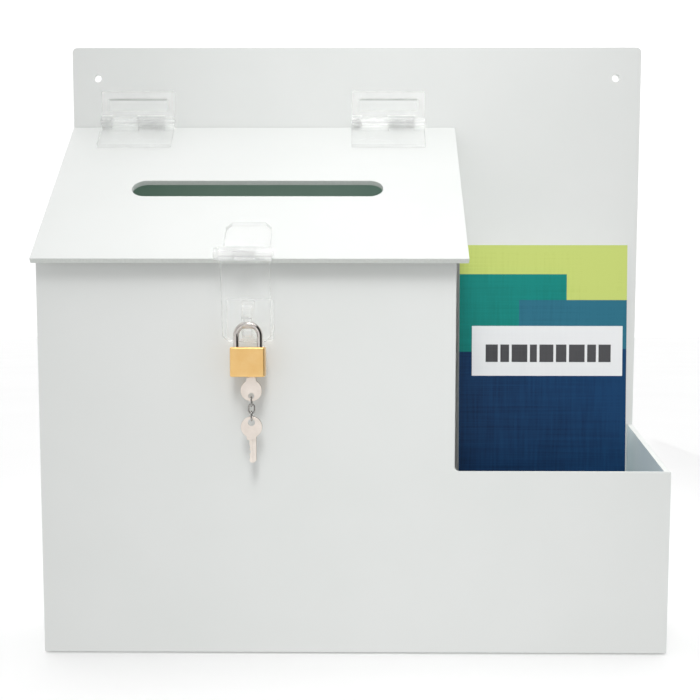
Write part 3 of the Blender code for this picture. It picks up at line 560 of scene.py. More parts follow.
def make_bottom():
    side = WIDTH / 2 - SHEET - SEAM
    panel = block(
        "bottom_panel_sheet",
        (-side, from_front(SHEET + SEAM), 0),
        (side, DEPTH / 2 - SHEET - SEAM, SHEET),
    )
    sheet_piece(panel, "box", (0, 0, 1), "bottom_panel")


def make_lid():
    front = from_front(-LID_OVERHANG)
    rear = DEPTH / 2 - SHEET - LID_CLEARANCE
    outline = [
        (front, LID_FRONT_HEIGHT),
        (front + SHEET * math.sin(LID_ANGLE), LID_FRONT_HEIGHT - SHEET * math.cos(LID_ANGLE)),
        (rear, lid_underside(rear)),
        (rear, lid_underside(rear) + SHEET / math.cos(LID_ANGLE)),
    ]
    lid = plate("lid_panel_sheet", outline, LID_WIDTH, facing_side(from_left(LID_WIDTH / 2)), 0)
    x, r = from_left(SLOT_CENTRE_X), SLOT_WIDTH / 2
    reach = SLOT_LENGTH / 2 - r
    slot_outline = arc((x + reach, SLOT_CENTRE_SLOPE), r, -90, 90, 24)
    slot_outline += arc((x - reach, SLOT_CENTRE_SLOPE), r, 90, 270, 24)
    soften(cut(lid, plate("slot_cutter", slot_outline, 0.02, LID_FRAME, 0)), EDGE)
    sheet_piece(lid, "lid", LID_FRAME.to_3x3() @ Vector((0, 0, 1)), "lid_panel")


# Lid hinges

HINGE_WIDTH, END_KNUCKLE = 0.0448, 0.0062
LEAF_THICKNESS, KNUCKLE_RADIUS = 0.0023, 0.0031
BORE_RADIUS, KNUCKLE_ROOM = 0.00108, 0.0037
LEAF_CORNER, LEAF_EDGE = 0.0008, 0.00025
WALL_LEAF_LENGTH, LID_LEAF_LENGTH = 0.0183, 0.0228
RECESS_MARGIN, RECESS_FROM_EDGE, RECESS_TALL = 0.0039, 0.0045, 0.0073
RECESS_DEEP, RECESS_CORNER, RECESS_SLOPE = 0.0011, 0.0012, 0.0008


def knuckle_spans(left, right, leaf):
    """Where the leaf's two knuckles start and end along the pin."""
    middle, half = (left + right) / 2, GAP / 2
    first, last = left + END_KNUCKLE, right - END_KNUCKLE
    if leaf == "lid":
        return [(left, first - half), (middle + half, last - half)]
    return [(first + half, middle - half), (last + half, right)]


def make_leaf(name, node, left, right, leaf, place, length, axis_height):
    """A moulded leaf: knuckles on webs, a thinned panel in the middle and a raised border."""
    spans = knuckle_spans(left, right, leaf)
    corner = LEAF_CORNER
    outline = arc((right - corner, length - corner), corner, 0, 90, 4)
    outline += arc((left + corner, length - corner), corner, 90, 180, 4)
    if leaf == "lid":
        outline += [(left, 0), (spans[0][1], 0), (spans[0][1], KNUCKLE_ROOM)]
        outline += [(spans[1][0], KNUCKLE_ROOM), (spans[1][0], 0), (spans[1][1], 0)]
        outline += [(spans[1][1], KNUCKLE_ROOM), (right, KNUCKLE_ROOM)]
    else:
        outline += [(left, KNUCKLE_ROOM), (spans[0][0], KNUCKLE_ROOM), (spans[0][0], 0)]
        outline += [(spans[0][1], 0), (spans[0][1], KNUCKLE_ROOM)]
        outline += [(spans[1][0], KNUCKLE_ROOM), (spans[1][0], 0), (right, 0)]
    base = place @ Matrix.Translation((0, 0, LEAF_THICKNESS / 2 - GAP + LIFT))
    body = plate(name, outline, LEAF_THICKNESS, base, LEAF_EDGE)
    knuckles = []
    for i, (a, b) in enumerate(spans):
        middle = place @ Vector(((a + b) / 2, 0, axis_height))
        knuckles.append(
            rod(f"{name}_knuckle_{i}", KNUCKLE_RADIUS, b - a - 0.00004, middle, ACROSS_X, 0.0002, 64)
        )
    middle = place @ Vector(((left + right) / 2, 0, axis_height))
    bore = rod(name + "_bore", BORE_RADIUS, 0.2, middle, ACROSS_X, segments=40)
    far = length - RECESS_FROM_EDGE
    hollow = rounded(
        left + RECESS_MARGIN, far - RECESS_TALL, right - RECESS_MARGIN, far, RECESS_CORNER, 4
    )
    floor = LEAF_THICKNESS - GAP + LIFT - RECESS_DEEP
    recess_place = place @ Matrix.Translation((0, 0, floor + 0.002))
    recess = plate(name + "_recess", hollow, 0.004, recess_place, RECESS_SLOPE, 1)
    join(body, *knuckles)
    cut(body, bore, recess)
    normal = place.to_3x3() @ Vector((0, 0, 1))
    clear_piece(body, "box" if leaf == "wall" else "lid", normal, node)
    # The wall leaves' raised border gets a milkier, lighter clear material: painted light.
    body.data.materials.append(CLEAR_FRAME_PAINTED_LIGHT)
    # The recess's wall nearest the pin gets a dark clear material: painted shade.
    body.data.materials.append(CLEAR_PAINTED_SHADE)
    into_leaf = place.inverted()
    towards_pin = place.to_3x3() @ Vector((0, -1, 0))
    for face in body.data.polygons:
        middle = into_leaf @ face.center
        if leaf == "wall" and face.normal.dot(normal) > FLAT and middle.z > floor + RECESS_DEEP / 2:
            face.material_index = 2
        if face.normal.dot(towards_pin) > 0.6 and abs(middle.y - far) < 0.001:
            face.material_index = 3


def make_hinges():
    face = DEPTH / 2 - SHEET - GAP
    on_wall = Matrix(((1, 0, 0, 0), (0, 0, -1, face), (0, 1, 0, HINGE_AXIS.z), (0, 0, 0, 1)))
    axis = LID_FRAME.inverted() @ Vector((0, HINGE_AXIS.y, HINGE_AXIS.z))
    on_lid = LID_FRAME @ Matrix(((1, 0, 0, 0), (0, -1, 0, axis.y), (0, 0, 1, GAP), (0, 0, 0, 1)))
    for side in ("left", "right"):
        name = f"hinge_{side}"
        low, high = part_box(name + "_wall_leaf")
        wall, lid = name + "_wall_leaf", name + "_lid_leaf"
        sides = (low.x, high.x)
        from_wall = face - HINGE_AXIS.y
        make_leaf(wall + "_clear", wall, *sides, "wall", on_wall, WALL_LEAF_LENGTH, from_wall)
        make_leaf(lid + "_clear", lid, *sides, "lid", on_lid, LID_LEAF_LENGTH, axis.z - GAP)
        middle = Vector(((low.x + high.x) / 2, HINGE_AXIS.y, HINGE_AXIS.z))
        pin = rod(name + "_pin_clear", 0.001, HINGE_WIDTH + 0.0012, middle, ACROSS_X, 0.0002)
        clear_piece(pin, "box", (0, 1, 0), name + "_pin")


# Hasp

HASP_X, HASP_AXIS_SLOPE = 0.116, -0.0012
HASP_THICKNESS, HASP_CHAMFER, HASP_EDGE = 0.0021, 0.0034, 0.0004
HASP_LEAF_WIDTH, HASP_LEAF_START, HASP_LEAF_END = 0.0254, 0.0032, 0.03
BARREL_RADIUS, HASP_BORE_RADIUS = 0.0038, 0.0017
BARREL_LEFT, BARREL_RIGHT, MIDDLE_LEFT, MIDDLE_RIGHT = 0.1016, 0.1303, 0.109, 0.1215
FLAP_LEAN = math.radians(12)
FLAP_WIDTH, FLAP_LENGTH, FLAP_THICKNESS = 0.0265, 0.0477, 0.0024
FLAP_SHIFT, FLAP_CHAMFER = 0.0003, 0.003
FLAP_ROOM_END, FLAP_SLOT_START, FLAP_SLOT_END, FLAP_SLOT_WIDTH = 0.0046, 0.0252, 0.0457, 0.0072
PIN_RADIUS, PIN_HEAD_RADIUS, PIN_HEAD_THICKNESS = 0.0016, 0.0034, 0.0023
STAPLE_THICKNESS, STAPLE_CORNER = 0.0025, 0.0012
EYE_TOP, EYE_BOTTOM, EYE_CORNER = 0.1944, 0.1766, 0.003
EYE_HOLE_HEIGHT, EYE_HOLE_RADIUS = 0.184, 0.0033


def make_hasp_leaf():
    x, half, c = from_left(HASP_X), HASP_LEAF_WIDTH / 2, HASP_CHAMFER
    start, end = HASP_LEAF_START, HASP_LEAF_END
    left, right = from_left(MIDDLE_LEFT) + GAP / 2, from_left(MIDDLE_RIGHT) - GAP / 2
    inset = 0.00015
    outline = [
        (x - half, start),
        (left + inset, start),
        (left + inset, HASP_AXIS_SLOPE),
        (right - inset, HASP_AXIS_SLOPE),
        (right - inset, start),
        (x + half, start),
        (x + half, end - 1.4 * c),
        (x + half - c, end),
        (x - half + c, end),
        (x - half, end - 1.4 * c),
    ]
    lift = Matrix.Translation((0, 0, LIFT + HASP_THICKNESS / 2))
    leaf = plate("hasp_lid_leaf_clear", outline, HASP_THICKNESS, LID_FRAME @ lift, HASP_EDGE, 3)
    middle = Vector(((left + right) / 2, HASP_AXIS.y, HASP_AXIS.z))
    knuckle = rod("hasp_knuckle", BARREL_RADIUS, right - left, middle, ACROSS_X, 0.0003, 64)
    bore = rod("hasp_bore", HASP_BORE_RADIUS, 0.05, middle, ACROSS_X)
    join(leaf, knuckle)
    cut(leaf, bore)
    clear_piece(leaf, "lid", LID_FRAME.to_3x3() @ Vector((0, 0, 1)), "hasp_lid_leaf")


def flap_frame():
    """Local Y runs down the flap from the hasp's axis, and local Z points out to the front."""
    down = Vector((0, math.sin(FLAP_LEAN), -math.cos(FLAP_LEAN)))
    out = Vector((-1, 0, 0)).cross(down)
    place = Matrix((Vector((-1, 0, 0)), down, out)).transposed().to_4x4()
    place.translation = HASP_AXIS
    return place


def make_flap():
    place = flap_frame()
    left, right, c = FLAP_SHIFT + FLAP_WIDTH / 2, FLAP_SHIFT - FLAP_WIDTH / 2, FLAP_CHAMFER
    inner = from_left(HASP_X)
    outline = [
        (left, 0),
        (left, FLAP_LENGTH - c),
        (left - c, FLAP_LENGTH),
        (right + c, FLAP_LENGTH),
        (right, FLAP_LENGTH - c),
        (right, 0),
    ]
    flap = plate("hasp_flap_clear", outline, FLAP_THICKNESS, place, HASP_EDGE, 3)
    room = block(
        "flap_room",
        (inner - from_left(MIDDLE_RIGHT), -0.01, -0.01),
        (inner - from_left(MIDDLE_LEFT), FLAP_ROOM_END, 0.01),
        0,
        place=place,
    )
    eye, half = inner - from_left(EYE_X), FLAP_SLOT_WIDTH / 2
    slot = rounded(eye - half, FLAP_SLOT_START, eye + half, FLAP_SLOT_END, 0.0008, 5)
    knuckles = []
    for name, a, b in (
        ("left", BARREL_LEFT, MIDDLE_LEFT - GAP / 2),
        ("right", MIDDLE_RIGHT + GAP / 2, BARREL_RIGHT),
    ):
        middle = Vector((from_left((a + b) / 2), HASP_AXIS.y, HASP_AXIS.z))
        knuckles.append(rod(f"flap_{name}", BARREL_RADIUS, b - a, middle, ACROSS_X, 0.0003, 64))
    cut(flap, room, plate("flap_slot", slot, 0.01, place, 0))
    join(flap, *knuckles)
    cut(flap, rod("flap_bore", HASP_BORE_RADIUS, 0.06, HASP_AXIS, ACROSS_X))
    clear_piece(flap, "hasp_flap", place.to_3x3() @ Vector((0, 0, 1)), "hasp_flap")


def make_hasp_pin():
    low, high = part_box("hasp_pin")
    centre = Vector(((low.x + high.x) / 2, HASP_AXIS.y, HASP_AXIS.z))
    pin = rod("hasp_pin_clear", PIN_RADIUS, high.x - low.x, centre, ACROSS_X, 0.0004)
    head_centre = Vector((low.x + PIN_HEAD_THICKNESS / 2, HASP_AXIS.y, HASP_AXIS.z))
    head = rod("pin_head", PIN_HEAD_RADIUS, PIN_HEAD_THICKNESS, head_centre, ACROSS_X, 0.0006)
    clear_piece(join(pin, head), "lid", (0, 1, 0), "hasp_pin")


def make_staple():
    low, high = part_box("hasp_staple")
    face, thick = from_front(-LIFT), STAPLE_THICKNESS
    outline = rounded(low.x, low.z, high.x, high.z, STAPLE_CORNER, 5)
    base = plate("hasp_staple_clear", outline, thick, facing_front(face - thick / 2), HASP_EDGE, 3)
    front, r, top, bottom = low.y, EYE_CORNER, EYE_TOP, EYE_BOTTOM
    eye_outline = [(face - 0.001, top)]
    eye_outline += arc((front + r, top - r), r, 90, 180, 8)
    eye_outline += arc((front + r, bottom + r), r, 180, 270, 8)
    eye_outline += [(face - 0.001, bottom)]
    eye = plate("staple_eye", eye_outline, EYE_WIDTH, facing_side(from_left(EYE_X)), HASP_EDGE, 3)
    centre = (from_left(EYE_X), PADLOCK.y, EYE_HOLE_HEIGHT)
    hole = rod("staple_hole", EYE_HOLE_RADIUS, 0.02, centre, ACROSS_X, segments=40)
    join(base, eye)
    cut(base, hole)
    clear_piece(base, "box", (0, 1, 0), "hasp_staple")


# Padlock

LEG_OFFSET, SHACKLE_RADIUS, LEG_BORE_RADIUS = 0.00635, 0.0016, 0.00169
HEEL_BORE_BOTTOM, TOE_BORE_BOTTOM, TOE_BOTTOM = 0.157, 0.1651, 0.1653
PLUG_RADIUS, PLUG_TOP, PLUG_BORE_RADIUS, PLUG_BORE_TOP = 0.0029, 0.1646, 0.003, 0.1649
CAM_CAVITY_RADIUS, CAM_CAVITY_BOTTOM, CAM_CAVITY_TOP = 0.00265, 0.1644, 0.1704
PIN_BORE_RADIUS, PIN_HEIGHTS = 0.00085, (0.1574, 0.1596, 0.1618)


def make_padlock():
    low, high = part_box("padlock_body")
    x, y = PADLOCK.x, PADLOCK.y
    case = block("padlock_case", low, high, 0.0008, 4)
    above, below = high.z + 0.002, low.z - 0.002

    def bore(name, dx, bottom, top, radius):
        return rod(name, radius, top - bottom, (x + dx, y, (top + bottom) / 2))

    plug_dx = PLUG.x - x
    cutters = [
        bore("heel_bore", -LEG_OFFSET, HEEL_BORE_BOTTOM, above, LEG_BORE_RADIUS),
        bore("toe_bore", LEG_OFFSET, TOE_BORE_BOTTOM, above, LEG_BORE_RADIUS),
        bore("plug_bore", plug_dx, below, PLUG_BORE_TOP, PLUG_BORE_RADIUS),
        bore("cam_cavity", plug_dx, CAM_CAVITY_BOTTOM, CAM_CAVITY_TOP, CAM_CAVITY_RADIUS),
        block("latch_channel", (x - 0.0043, y - 0.0016, 0.1684), (x + 0.0055, y + 0.0016, 0.1703), 0),
    ]
    for i, z in enumerate(PIN_HEIGHTS):
        centre = Vector((PLUG.x - 0.00395, y, z))
        cutters.append(rod(f"chamber_{i}", PIN_BORE_RADIUS, 0.0041, centre, ACROSS_X, segments=24))
    for side in (-1, 1):
        mouth = (x + side * LEG_OFFSET, y, high.z - 0.0001)
        cutters.append(rod(f"mouth_{side}", 0.0016, 0.0008, mouth, end_radius=0.0022))
    cut(case, *cutters)
    finish_piece(case, "padlock", BRASS, "brass", "padlock_body")


def make_shackle():
    low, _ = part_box("padlock_shackle")
    x, y = PADLOCK.x, PADLOCK.y
    centre = SHACKLE_AXIS.z - LEG_OFFSET
    points = [(x - LEG_OFFSET, y, low.z), (x - LEG_OFFSET, y, centre - 0.0005)]
    points += [(px, y, pz) for px, pz in arc((x, centre), LEG_OFFSET, 180, 0, 48)]
    points += [(x + LEG_OFFSET, y, centre - 0.0005), (x + LEG_OFFSET, y, TOE_BOTTOM)]
    shackle = tube("shackle_rod", points, SHACKLE_RADIUS, sides=32)
    inner = x + LEG_OFFSET - SHACKLE_RADIUS
    notch = block("toe_notch", (inner - 0.001, y - 0.003, 0.1662), (inner + 0.00065, y + 0.003, 0.1705), 0)
    finish_piece(cut(shackle, notch), "shackle", POLISHED, "polished_steel", "padlock_shackle")


def make_plug():
    low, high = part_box("padlock_plug")
    middle = Vector((PLUG.x, PLUG.y, (low.z + PLUG_TOP) / 2))
    plug = rod("plug_barrel", PLUG_RADIUS, PLUG_TOP - low.z, middle, edge=0.0002, segments=64)
    cam_centre = (PLUG.x, PLUG.y + 0.0016, (PLUG_TOP + high.z) / 2 - 0.0002)
    cam = rod("plug_cam", 0.0005, high.z - PLUG_TOP + 0.0004, cam_centre, segments=24)
    keyway = block(
        "keyway",
        (PLUG.x - 0.0014, PLUG.y - 0.00085, low.z - 0.001),
        (PLUG.x + 0.0039, PLUG.y + 0.00085, 0.1641),
        0,
    )
    holes = [
        rod(
            f"plug_hole_{i}",
            PIN_BORE_RADIUS,
            0.0029,
            (PLUG.x - 0.00205, PLUG.y, z),
            ACROSS_X,
            segments=24,
        )
        for i, z in enumerate(PIN_HEIGHTS)
    ]
    join(plug, cam)
    cut(plug, keyway, *holes)
    finish_piece(plug, "plug", BRASS_PIN, "brass", "padlock_plug")


# Keys and chain

BOW_RADIUS, BOW_THICKNESS, NECK_HALF, NECK_LENGTH = 0.0058, 0.0017, 0.0032, 0.0071


def blade_outline(start, tip, flip):
    """The blade with its cuts on the pins' side and a pointed tip."""
    left, right = -0.0012, 0.0026
    length = abs(tip - start)
    cuts = [(0.34, 0.0005), (0.55, 0.0007), (0.76, 0.0004)]
    points = [(right, 0), (right, length - 0.0014), (right - 0.0013, length), (left + 0.0009, length)]
    points.append((left, length - 0.0011))
    for place, deep in reversed(cuts):
        middle = length * place
        points += [(left, middle + 0.0011), (left + deep, middle + 0.0004)]
        points += [(left + deep, middle - 0.0004), (left, middle - 0.0011)]
    points.append((left, 0))
    return [(x, start + flip * y) for x, y in points]


def make_key(name, node, body, bow_height, hole_height, hole_radius, tip_height):
    flip = 1 if tip_height > bow_height else -1
    centre = Matrix.Translation((PLUG.x, PLUG.y, bow_height)) @ ALONG_Y
    spread = math.degrees(math.asin(NECK_HALF / BOW_RADIUS))
    outline = arc((0, 0), BOW_RADIUS, 90 - spread, -270 + spread, 48)
    outline += [(-NECK_HALF, NECK_LENGTH - 0.0022), (-NECK_HALF + 0.0005, NECK_LENGTH - 0.0019)]
    outline += [(-NECK_HALF + 0.0005, NECK_LENGTH - 0.0007), (-NECK_HALF + 0.0009, NECK_LENGTH)]
    outline += [(NECK_HALF - 0.0009, NECK_LENGTH), (NECK_HALF - 0.0005, NECK_LENGTH - 0.0007)]
    outline += [(NECK_HALF - 0.0005, NECK_LENGTH - 0.0019), (NECK_HALF, NECK_LENGTH - 0.0022)]
    outline = [(x, flip * y) for x, y in outline]
    key = plate(name, outline, BOW_THICKNESS, centre, 0.00022)
    neck_end = flip * (NECK_LENGTH - 0.001)
    tip = tip_height - bow_height
    blade = plate(name + "_blade", blade_outline(neck_end, tip, flip), 0.0013, centre, 0.00012, 1)
    hole = rod(name + "_hole", hole_radius, 0.01, (PLUG.x, PLUG.y, hole_height), ALONG_Y, segments=40)
    join(key, blade)
    ends = sorted((neck_end + flip * 0.0006, tip + flip * 0.002))
    grooves = [
        block(
            f"{name}_groove_{side}",
            (0.0006, ends[0], side * 0.00085 - 0.0005),
            (0.0016, ends[1], side * 0.00085 + 0.0005),
            0,
            place=centre,
        )
        for side in (-1, 1)
    ]
    cut(key, hole, *grooves)
    finish_piece(key, body, NICKEL, "nickel_plate", node)
    # The keys' edges get a dark copy of the nickel, painted shade.
    mark_cut_edges(key, (0, 1, 0), KEY_EDGE_SHADE, 0.6)


def make_keys():
    make_key("key_in_lock", "padlock_key", "key", 0.1478, 0.145, 0.0016, 0.1638)
    make_key("key_on_chain", "spare_key", "spare_key", 0.1281, 0.1306, 0.0019, 0.1087)


LINK_RADIUS, LINK_WIRE_RADIUS = 0.00155, 0.00045


def make_chain():
    pitch = LINK_TOPS[2] - LAST_WIRE
    r = LINK_RADIUS
    for number, top in enumerate(LINK_TOPS, start=1):
        across = Vector((1, 0, 0)) if number == 2 else Vector((0, 1, 0))
        loop = arc((0, top - r), r, 0, 180, 20) + arc((0, top - pitch + r), r, 180, 360, 20)
        points = [tuple(PLUG + across * a + Vector((0, 0, z))) for a, z in loop]
        link = tube(f"chain_link_{number}_wire", points, LINK_WIRE_RADIUS, True, 16)
        finish_piece(link, f"link_{number}", CHAIN, "steel", f"chain_link_{number}")


# Leaflets


LEAFLET_WIDTH, LEAFLET_THICKNESS = 0.1016, 0.0008
LEAFLET_LEFT, LEAFLET_FRONT = from_left(0.2376), from_front(0.071)
LEAFLET_BOTTOM, LEAFLET_TOP = 0.0035, 0.2318
REAR_TOP = Matrix.Translation((0, LEAFLET_FRONT + LEAFLET_THICKNESS, LEAFLET_TOP))
LEANING = REAR_TOP @ Matrix.Rotation(math.radians(-3), 4, "X") @ REAR_TOP.inverted()
TEAL_RIGHT, BLUE_LEFT = 0.3027, 0.2739
NAVY_TOP, NAVY_TOP_RIGHT, BLUE_TOP, TEAL_TOP = 0.1672, 0.169, 0.1986, 0.2142
LABEL_LEFT, LABEL_RIGHT, LABEL_BOTTOM, LABEL_TOP = 0.2453, 0.3368, 0.1526, 0.1829
LABEL_THICKNESS = 0.00008
BARS_LEFT, BARS_RIGHT, BARS_BOTTOM, BARS_TOP, BAR_GAP = 0.2537, 0.3297, 0.161, 0.1716, 0.0016
BAR_WIDTHS = (7, 5, 9, 4, 8, 6, 9, 5, 7)
LEAFLET_COUNT = 16


def make_cover():
    """The front leaflet: a thin card in printed colour blocks."""
    low = Vector((LEAFLET_LEFT, LEAFLET_FRONT, LEAFLET_BOTTOM))
    high = low + Vector((LEAFLET_WIDTH, LEAFLET_THICKNESS, LEAFLET_TOP - LEAFLET_BOTTOM))
    columns = [low.x, from_left(BLUE_LEFT), from_left(TEAL_RIGHT), high.x]
    rows = [low.z, NAVY_TOP, NAVY_TOP_RIGHT, BLUE_TOP, TEAL_TOP, high.z]
    lime, teal, blue, navy, paper = range(5)
    blocks = [
        (navy, navy, navy),
        (teal, navy, navy),
        (teal, blue, blue),
        (teal, teal, lime),
        (lime, lime, lime),
    ]
    shape = bmesh.new()
    front = [[shape.verts.new((x, low.y, z)) for x in columns] for z in rows]
    back = [[shape.verts.new((x, high.y, z)) for x in columns] for z in rows]
    for j in range(len(rows) - 1):
        for i in range(len(columns) - 1):
            corners = [(j, i), (j, i + 1), (j + 1, i + 1), (j + 1, i)]
            face = shape.faces.new([front[a][b] for a, b in corners])
            face.material_index = blocks[j][i]
            shape.faces.new([back[a][b] for a, b in reversed(corners)]).material_index = paper
    rim = [(0, i) for i in range(len(columns))]
    rim += [(j, len(columns) - 1) for j in range(1, len(rows))]
    rim += [(len(rows) - 1, i) for i in range(len(columns) - 2, -1, -1)]
    rim += [(j, 0) for j in range(len(rows) - 2, 0, -1)]
    for (a, b), (c, d) in zip(rim, rim[1:] + rim[:1]):
        shape.faces.new((front[c][d], front[a][b], back[a][b], back[c][d])).material_index = paper
    shape.transform(LEANING)
    bmesh.ops.recalc_face_normals(shape, faces=shape.faces)
    cover = new_object("leaflet_cover", shape)
    for material in (LIME, TEAL, BLUE, NAVY, PAPER):
        cover.data.materials.append(material)
    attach(cover, "leaflets")
    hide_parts("leaflet_front")


def make_label():
    """A plain white label with grey bars, in place of any wording."""
    y, thick = LEAFLET_FRONT, LABEL_THICKNESS
    left, right, low, high = from_left(LABEL_LEFT), from_left(LABEL_RIGHT), LABEL_BOTTOM, LABEL_TOP
    outline = [(left, low), (right, low), (right, high), (left, high)]
    label = plate("leaflet_label", outline, thick, LEANING @ facing_front(y - thick / 2), 0)
    finish_piece(label, "leaflets", LABEL, "printed_paper")
    bars = bmesh.new()
    gaps = BAR_GAP * (len(BAR_WIDTHS) - 1)
    unit = (BARS_RIGHT - BARS_LEFT - gaps) / sum(BAR_WIDTHS)
    x = BARS_LEFT
    for width in BAR_WIDTHS:
        a, b = from_left(x), from_left(x + width * unit)
        x += width * unit + BAR_GAP
        made = bmesh.ops.create_cube(bars, size=1)["verts"]
        bmesh.ops.scale(bars, vec=(b - a, thick, BARS_TOP - BARS_BOTTOM), verts=made)
        centre = ((a + b) / 2, y - 1.5 * thick, (BARS_BOTTOM + BARS_TOP) / 2)
        bmesh.ops.translate(bars, vec=centre, verts=made)
    bars.transform(LEANING)
    finish_piece(new_object("leaflet_label_bars", bars), "leaflets", INK, "printed_paper")


def make_pages():
    """The leaflets behind the first one, each a folded card a little out of line with the next."""
    low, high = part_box("leaflet_stack")
    random.seed(4)
    pitch = (high.y - low.y) / LEAFLET_COUNT
    pages = bmesh.new()
    for i in range(LEAFLET_COUNT):
        y = low.y + pitch * i
        inset, drop = random.uniform(0, 0.0007), random.uniform(0, 0.0008)
        a = Vector((low.x + inset, y, low.z))
        b = Vector((high.x - random.uniform(0, 0.0007), y + pitch * 0.86, high.z - drop))
        made = bmesh.ops.create_cube(pages, size=1)["verts"]
        bmesh.ops.scale(pages, vec=b - a, verts=made)
        bmesh.ops.translate(pages, vec=(a + b) / 2, verts=made)
    stack = new_object("leaflet_pages", pages)
    finish_piece(stack, "leaflets", PAPER, "plain_paper", "leaflet_stack")


# Inner parts of the lock keep their CAD shapes


def paint(material, *names):
    for name in names:
        mesh = frame["nodes"][name].data
        mesh.materials.clear()
        mesh.materials.append(material)


make_back()
make_front()
make_sides()
make_bottom()
make_lid()
make_hinges()
make_hasp_leaf()
make_flap()
make_hasp_pin()
make_staple()
make_padlock()
make_shackle()
make_plug()
make_keys()
make_chain()
make_cover()
make_label()
make_pages()
paint(BRASS_PIN, *(f"{kind}_pin_{i}" for kind in ("key", "driver") for i in (1, 2, 3)))
paint(STEEL, "latch_spring", "shackle_spring", "padlock_latch", *(f"pin_spring_{i}" for i in (1, 2, 3)))


# Stage


def make_floor():
    """A pale floor just under the box. Its bounce light comes from the world, which is dimmer below."""
    shape = bmesh.new()
    size, drop = 30, 0.0011
    corners = [(-size, -size), (size, -size), (size, size), (-size, size)]
    shape.faces.new([shape.verts.new((x, y, -drop)) for x, y in corners])
    floor = new_object("floor", shape)
    nodes = Nodes("pale_floor", Roughness=0.6, Specular_IOR_Level=0.2)
    nodes.set("Base Color", nodes.ramp(nodes.noise(2), (0.92, 0.92, 0.92), (0.94, 0.94, 0.94)))
    floor.data.materials.append(nodes.material)
    floor.visible_diffuse = False


def make_world():
    """A white studio: pale round the horizon, white behind and overhead, and dimmer in front and below."""
    world = bpy.data.worlds.new("studio")
    bpy.context.scene.world = world
    world.use_nodes = True
    tree = world.node_tree
    background = tree.nodes["Background"]
    coordinates = tree.nodes.new("ShaderNodeTexCoord")
    parts = tree.nodes.new("ShaderNodeSeparateXYZ")
    tree.links.new(coordinates.outputs["Generated"], parts.inputs["Vector"])

    def scaled(value, start, end, low, high):
        node = tree.nodes.new("ShaderNodeMapRange")
        for socket, number in zip(("From Min", "From Max", "To Min", "To Max"), (start, end, low, high)):
            node.inputs[socket].default_value = number
        tree.links.new(value, node.inputs["Value"])
        return node.outputs[0]

    facing = scaled(parts.outputs["Y"], -0.9, 0.5, 0.38, 1.1)
    overhead = scaled(parts.outputs["Z"], 0, 1, 1.0, 1.38)
    above_horizon = scaled(parts.outputs["Z"], 0.1, 0.26, 0.0, 1.0)
    both = tree.nodes.new("ShaderNodeMath")
    both.operation = "MULTIPLY"
    tree.links.new(facing, both.inputs[0])
    tree.links.new(overhead, both.inputs[1])
    strength = tree.nodes.new("ShaderNodeMix")
    tree.links.new(scaled(parts.outputs["Y"], -0.5, 0.3, 0.9, 1.08), strength.inputs["A"])
    tree.links.new(above_horizon, strength.inputs["Factor"])
    tree.links.new(both.outputs[0], strength.inputs["B"])
    with_ground = tree.nodes.new("ShaderNodeMath")
    with_ground.operation = "MULTIPLY"
    tree.links.new(strength.outputs["Result"], with_ground.inputs[0])
    tree.links.new(scaled(parts.outputs["Z"], -0.05, 0.0, 0.78, 1.0), with_ground.inputs[1])
    tree.links.new(with_ground.outputs[0], background.inputs["Strength"])
    background.inputs["Color"].default_value = (1, 1, 1, 1)


def make_light(name, place, target, size, energy, spread):
    """An area light aimed at a target, with its beam's spread in degrees."""
    data = bpy.data.lights.new(name, "AREA")
    data.shape = "RECTANGLE"
    data.size, data.size_y = size
    data.energy = energy
    data.spread = math.radians(spread)
    light = bpy.data.objects.new(name, data)
    bpy.context.scene.collection.objects.link(light)
    light.location = place
    light.rotation_euler = (Vector(target) - Vector(place)).to_track_quat("-Z", "Y").to_euler()


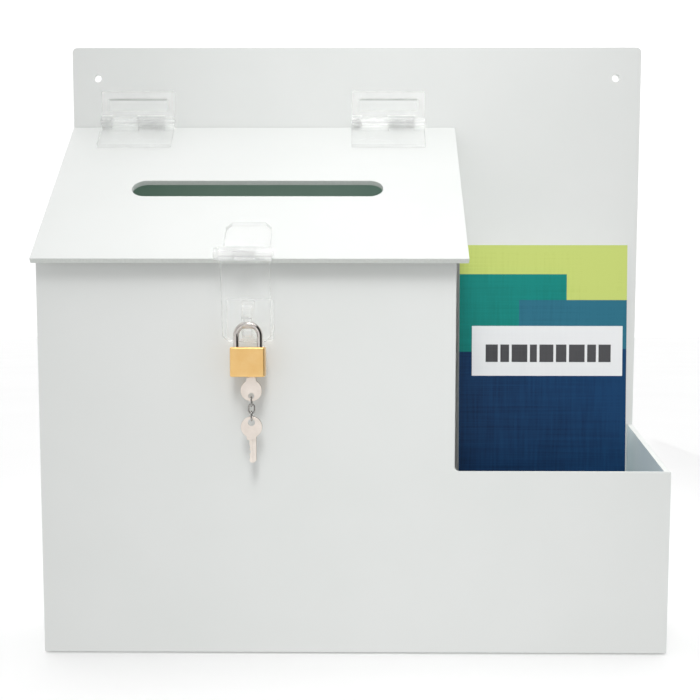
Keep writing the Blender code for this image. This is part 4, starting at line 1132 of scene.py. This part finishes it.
def make_card(name, corners, nodes, low, high):
    """A card that only reflections see."""
    shape = bmesh.new()
    shape.faces.new([shape.verts.new(corner) for corner in corners])
    card = new_object(name, shape)
    nodes.set("Base Color", nodes.ramp(nodes.noise(3), low, high))
    card.data.materials.append(nodes.material)
    card.visible_camera = card.visible_diffuse = card.visible_shadow = False
    card.visible_transmission = card.visible_volume_scatter = False


def make_cards():
    """A dark card on the right for the dark bands on bright metal, and a bright one overhead."""
    x, front, rear, bottom, top = 0.5, -3.6, 1.2, 0.0, 0.9
    corners = [(x, front, bottom), (x, rear, bottom), (x, rear, top), (x, front, top)]
    black = Nodes("card_black", Roughness=0.9)
    make_card("dark_card", corners, black, (0.01, 0.01, 0.01), (0.02, 0.02, 0.02))
    y, low, high, half = -0.6, 0.75, 1.0, 0.35
    corners = [(-half, y, low), (half, y, low), (half, y, high), (-half, y, high)]
    glow = Nodes("card_bright", Emission_Color=(1, 1, 1, 1), Emission_Strength=2.5)
    make_card("bright_card", corners, glow, (0.9, 0.9, 0.9), (0.95, 0.95, 0.95))


def make_camera():
    """A view from in front, from about the middle's height, tipped slightly down."""
    pitch, yaw, roll = 0.0904, -0.0079, 0.0012
    forward = Vector((math.sin(yaw) * math.cos(pitch), math.cos(yaw) * math.cos(pitch), -math.sin(pitch)))
    right = Vector((math.cos(yaw), -math.sin(yaw), 0))
    up = right.cross(forward)
    turned_right = math.cos(roll) * right + math.sin(roll) * up
    turned_up = -math.sin(roll) * right + math.cos(roll) * up
    data = bpy.data.cameras.new("camera")
    data.sensor_width = 36
    data.lens = 56.44
    data.shift_y = 0.1143
    camera = bpy.data.objects.new("camera", data)
    bpy.context.scene.collection.objects.link(camera)
    matrix = Matrix((turned_right, turned_up, -forward)).transposed().to_4x4()
    matrix.translation = Vector((0.001835, -0.64898, 0.18009))
    camera.matrix_world = matrix
    bpy.context.scene.camera = camera


make_floor()
make_world()
make_light(
    "key_softbox", (-0.02, -0.78, 0.95), (0.04, 0, 0.2), size=(0.25, 0.9), energy=0.6, spread=44
)
make_cards()
make_camera()
bpy.context.scene.view_settings.view_transform = "Standard"
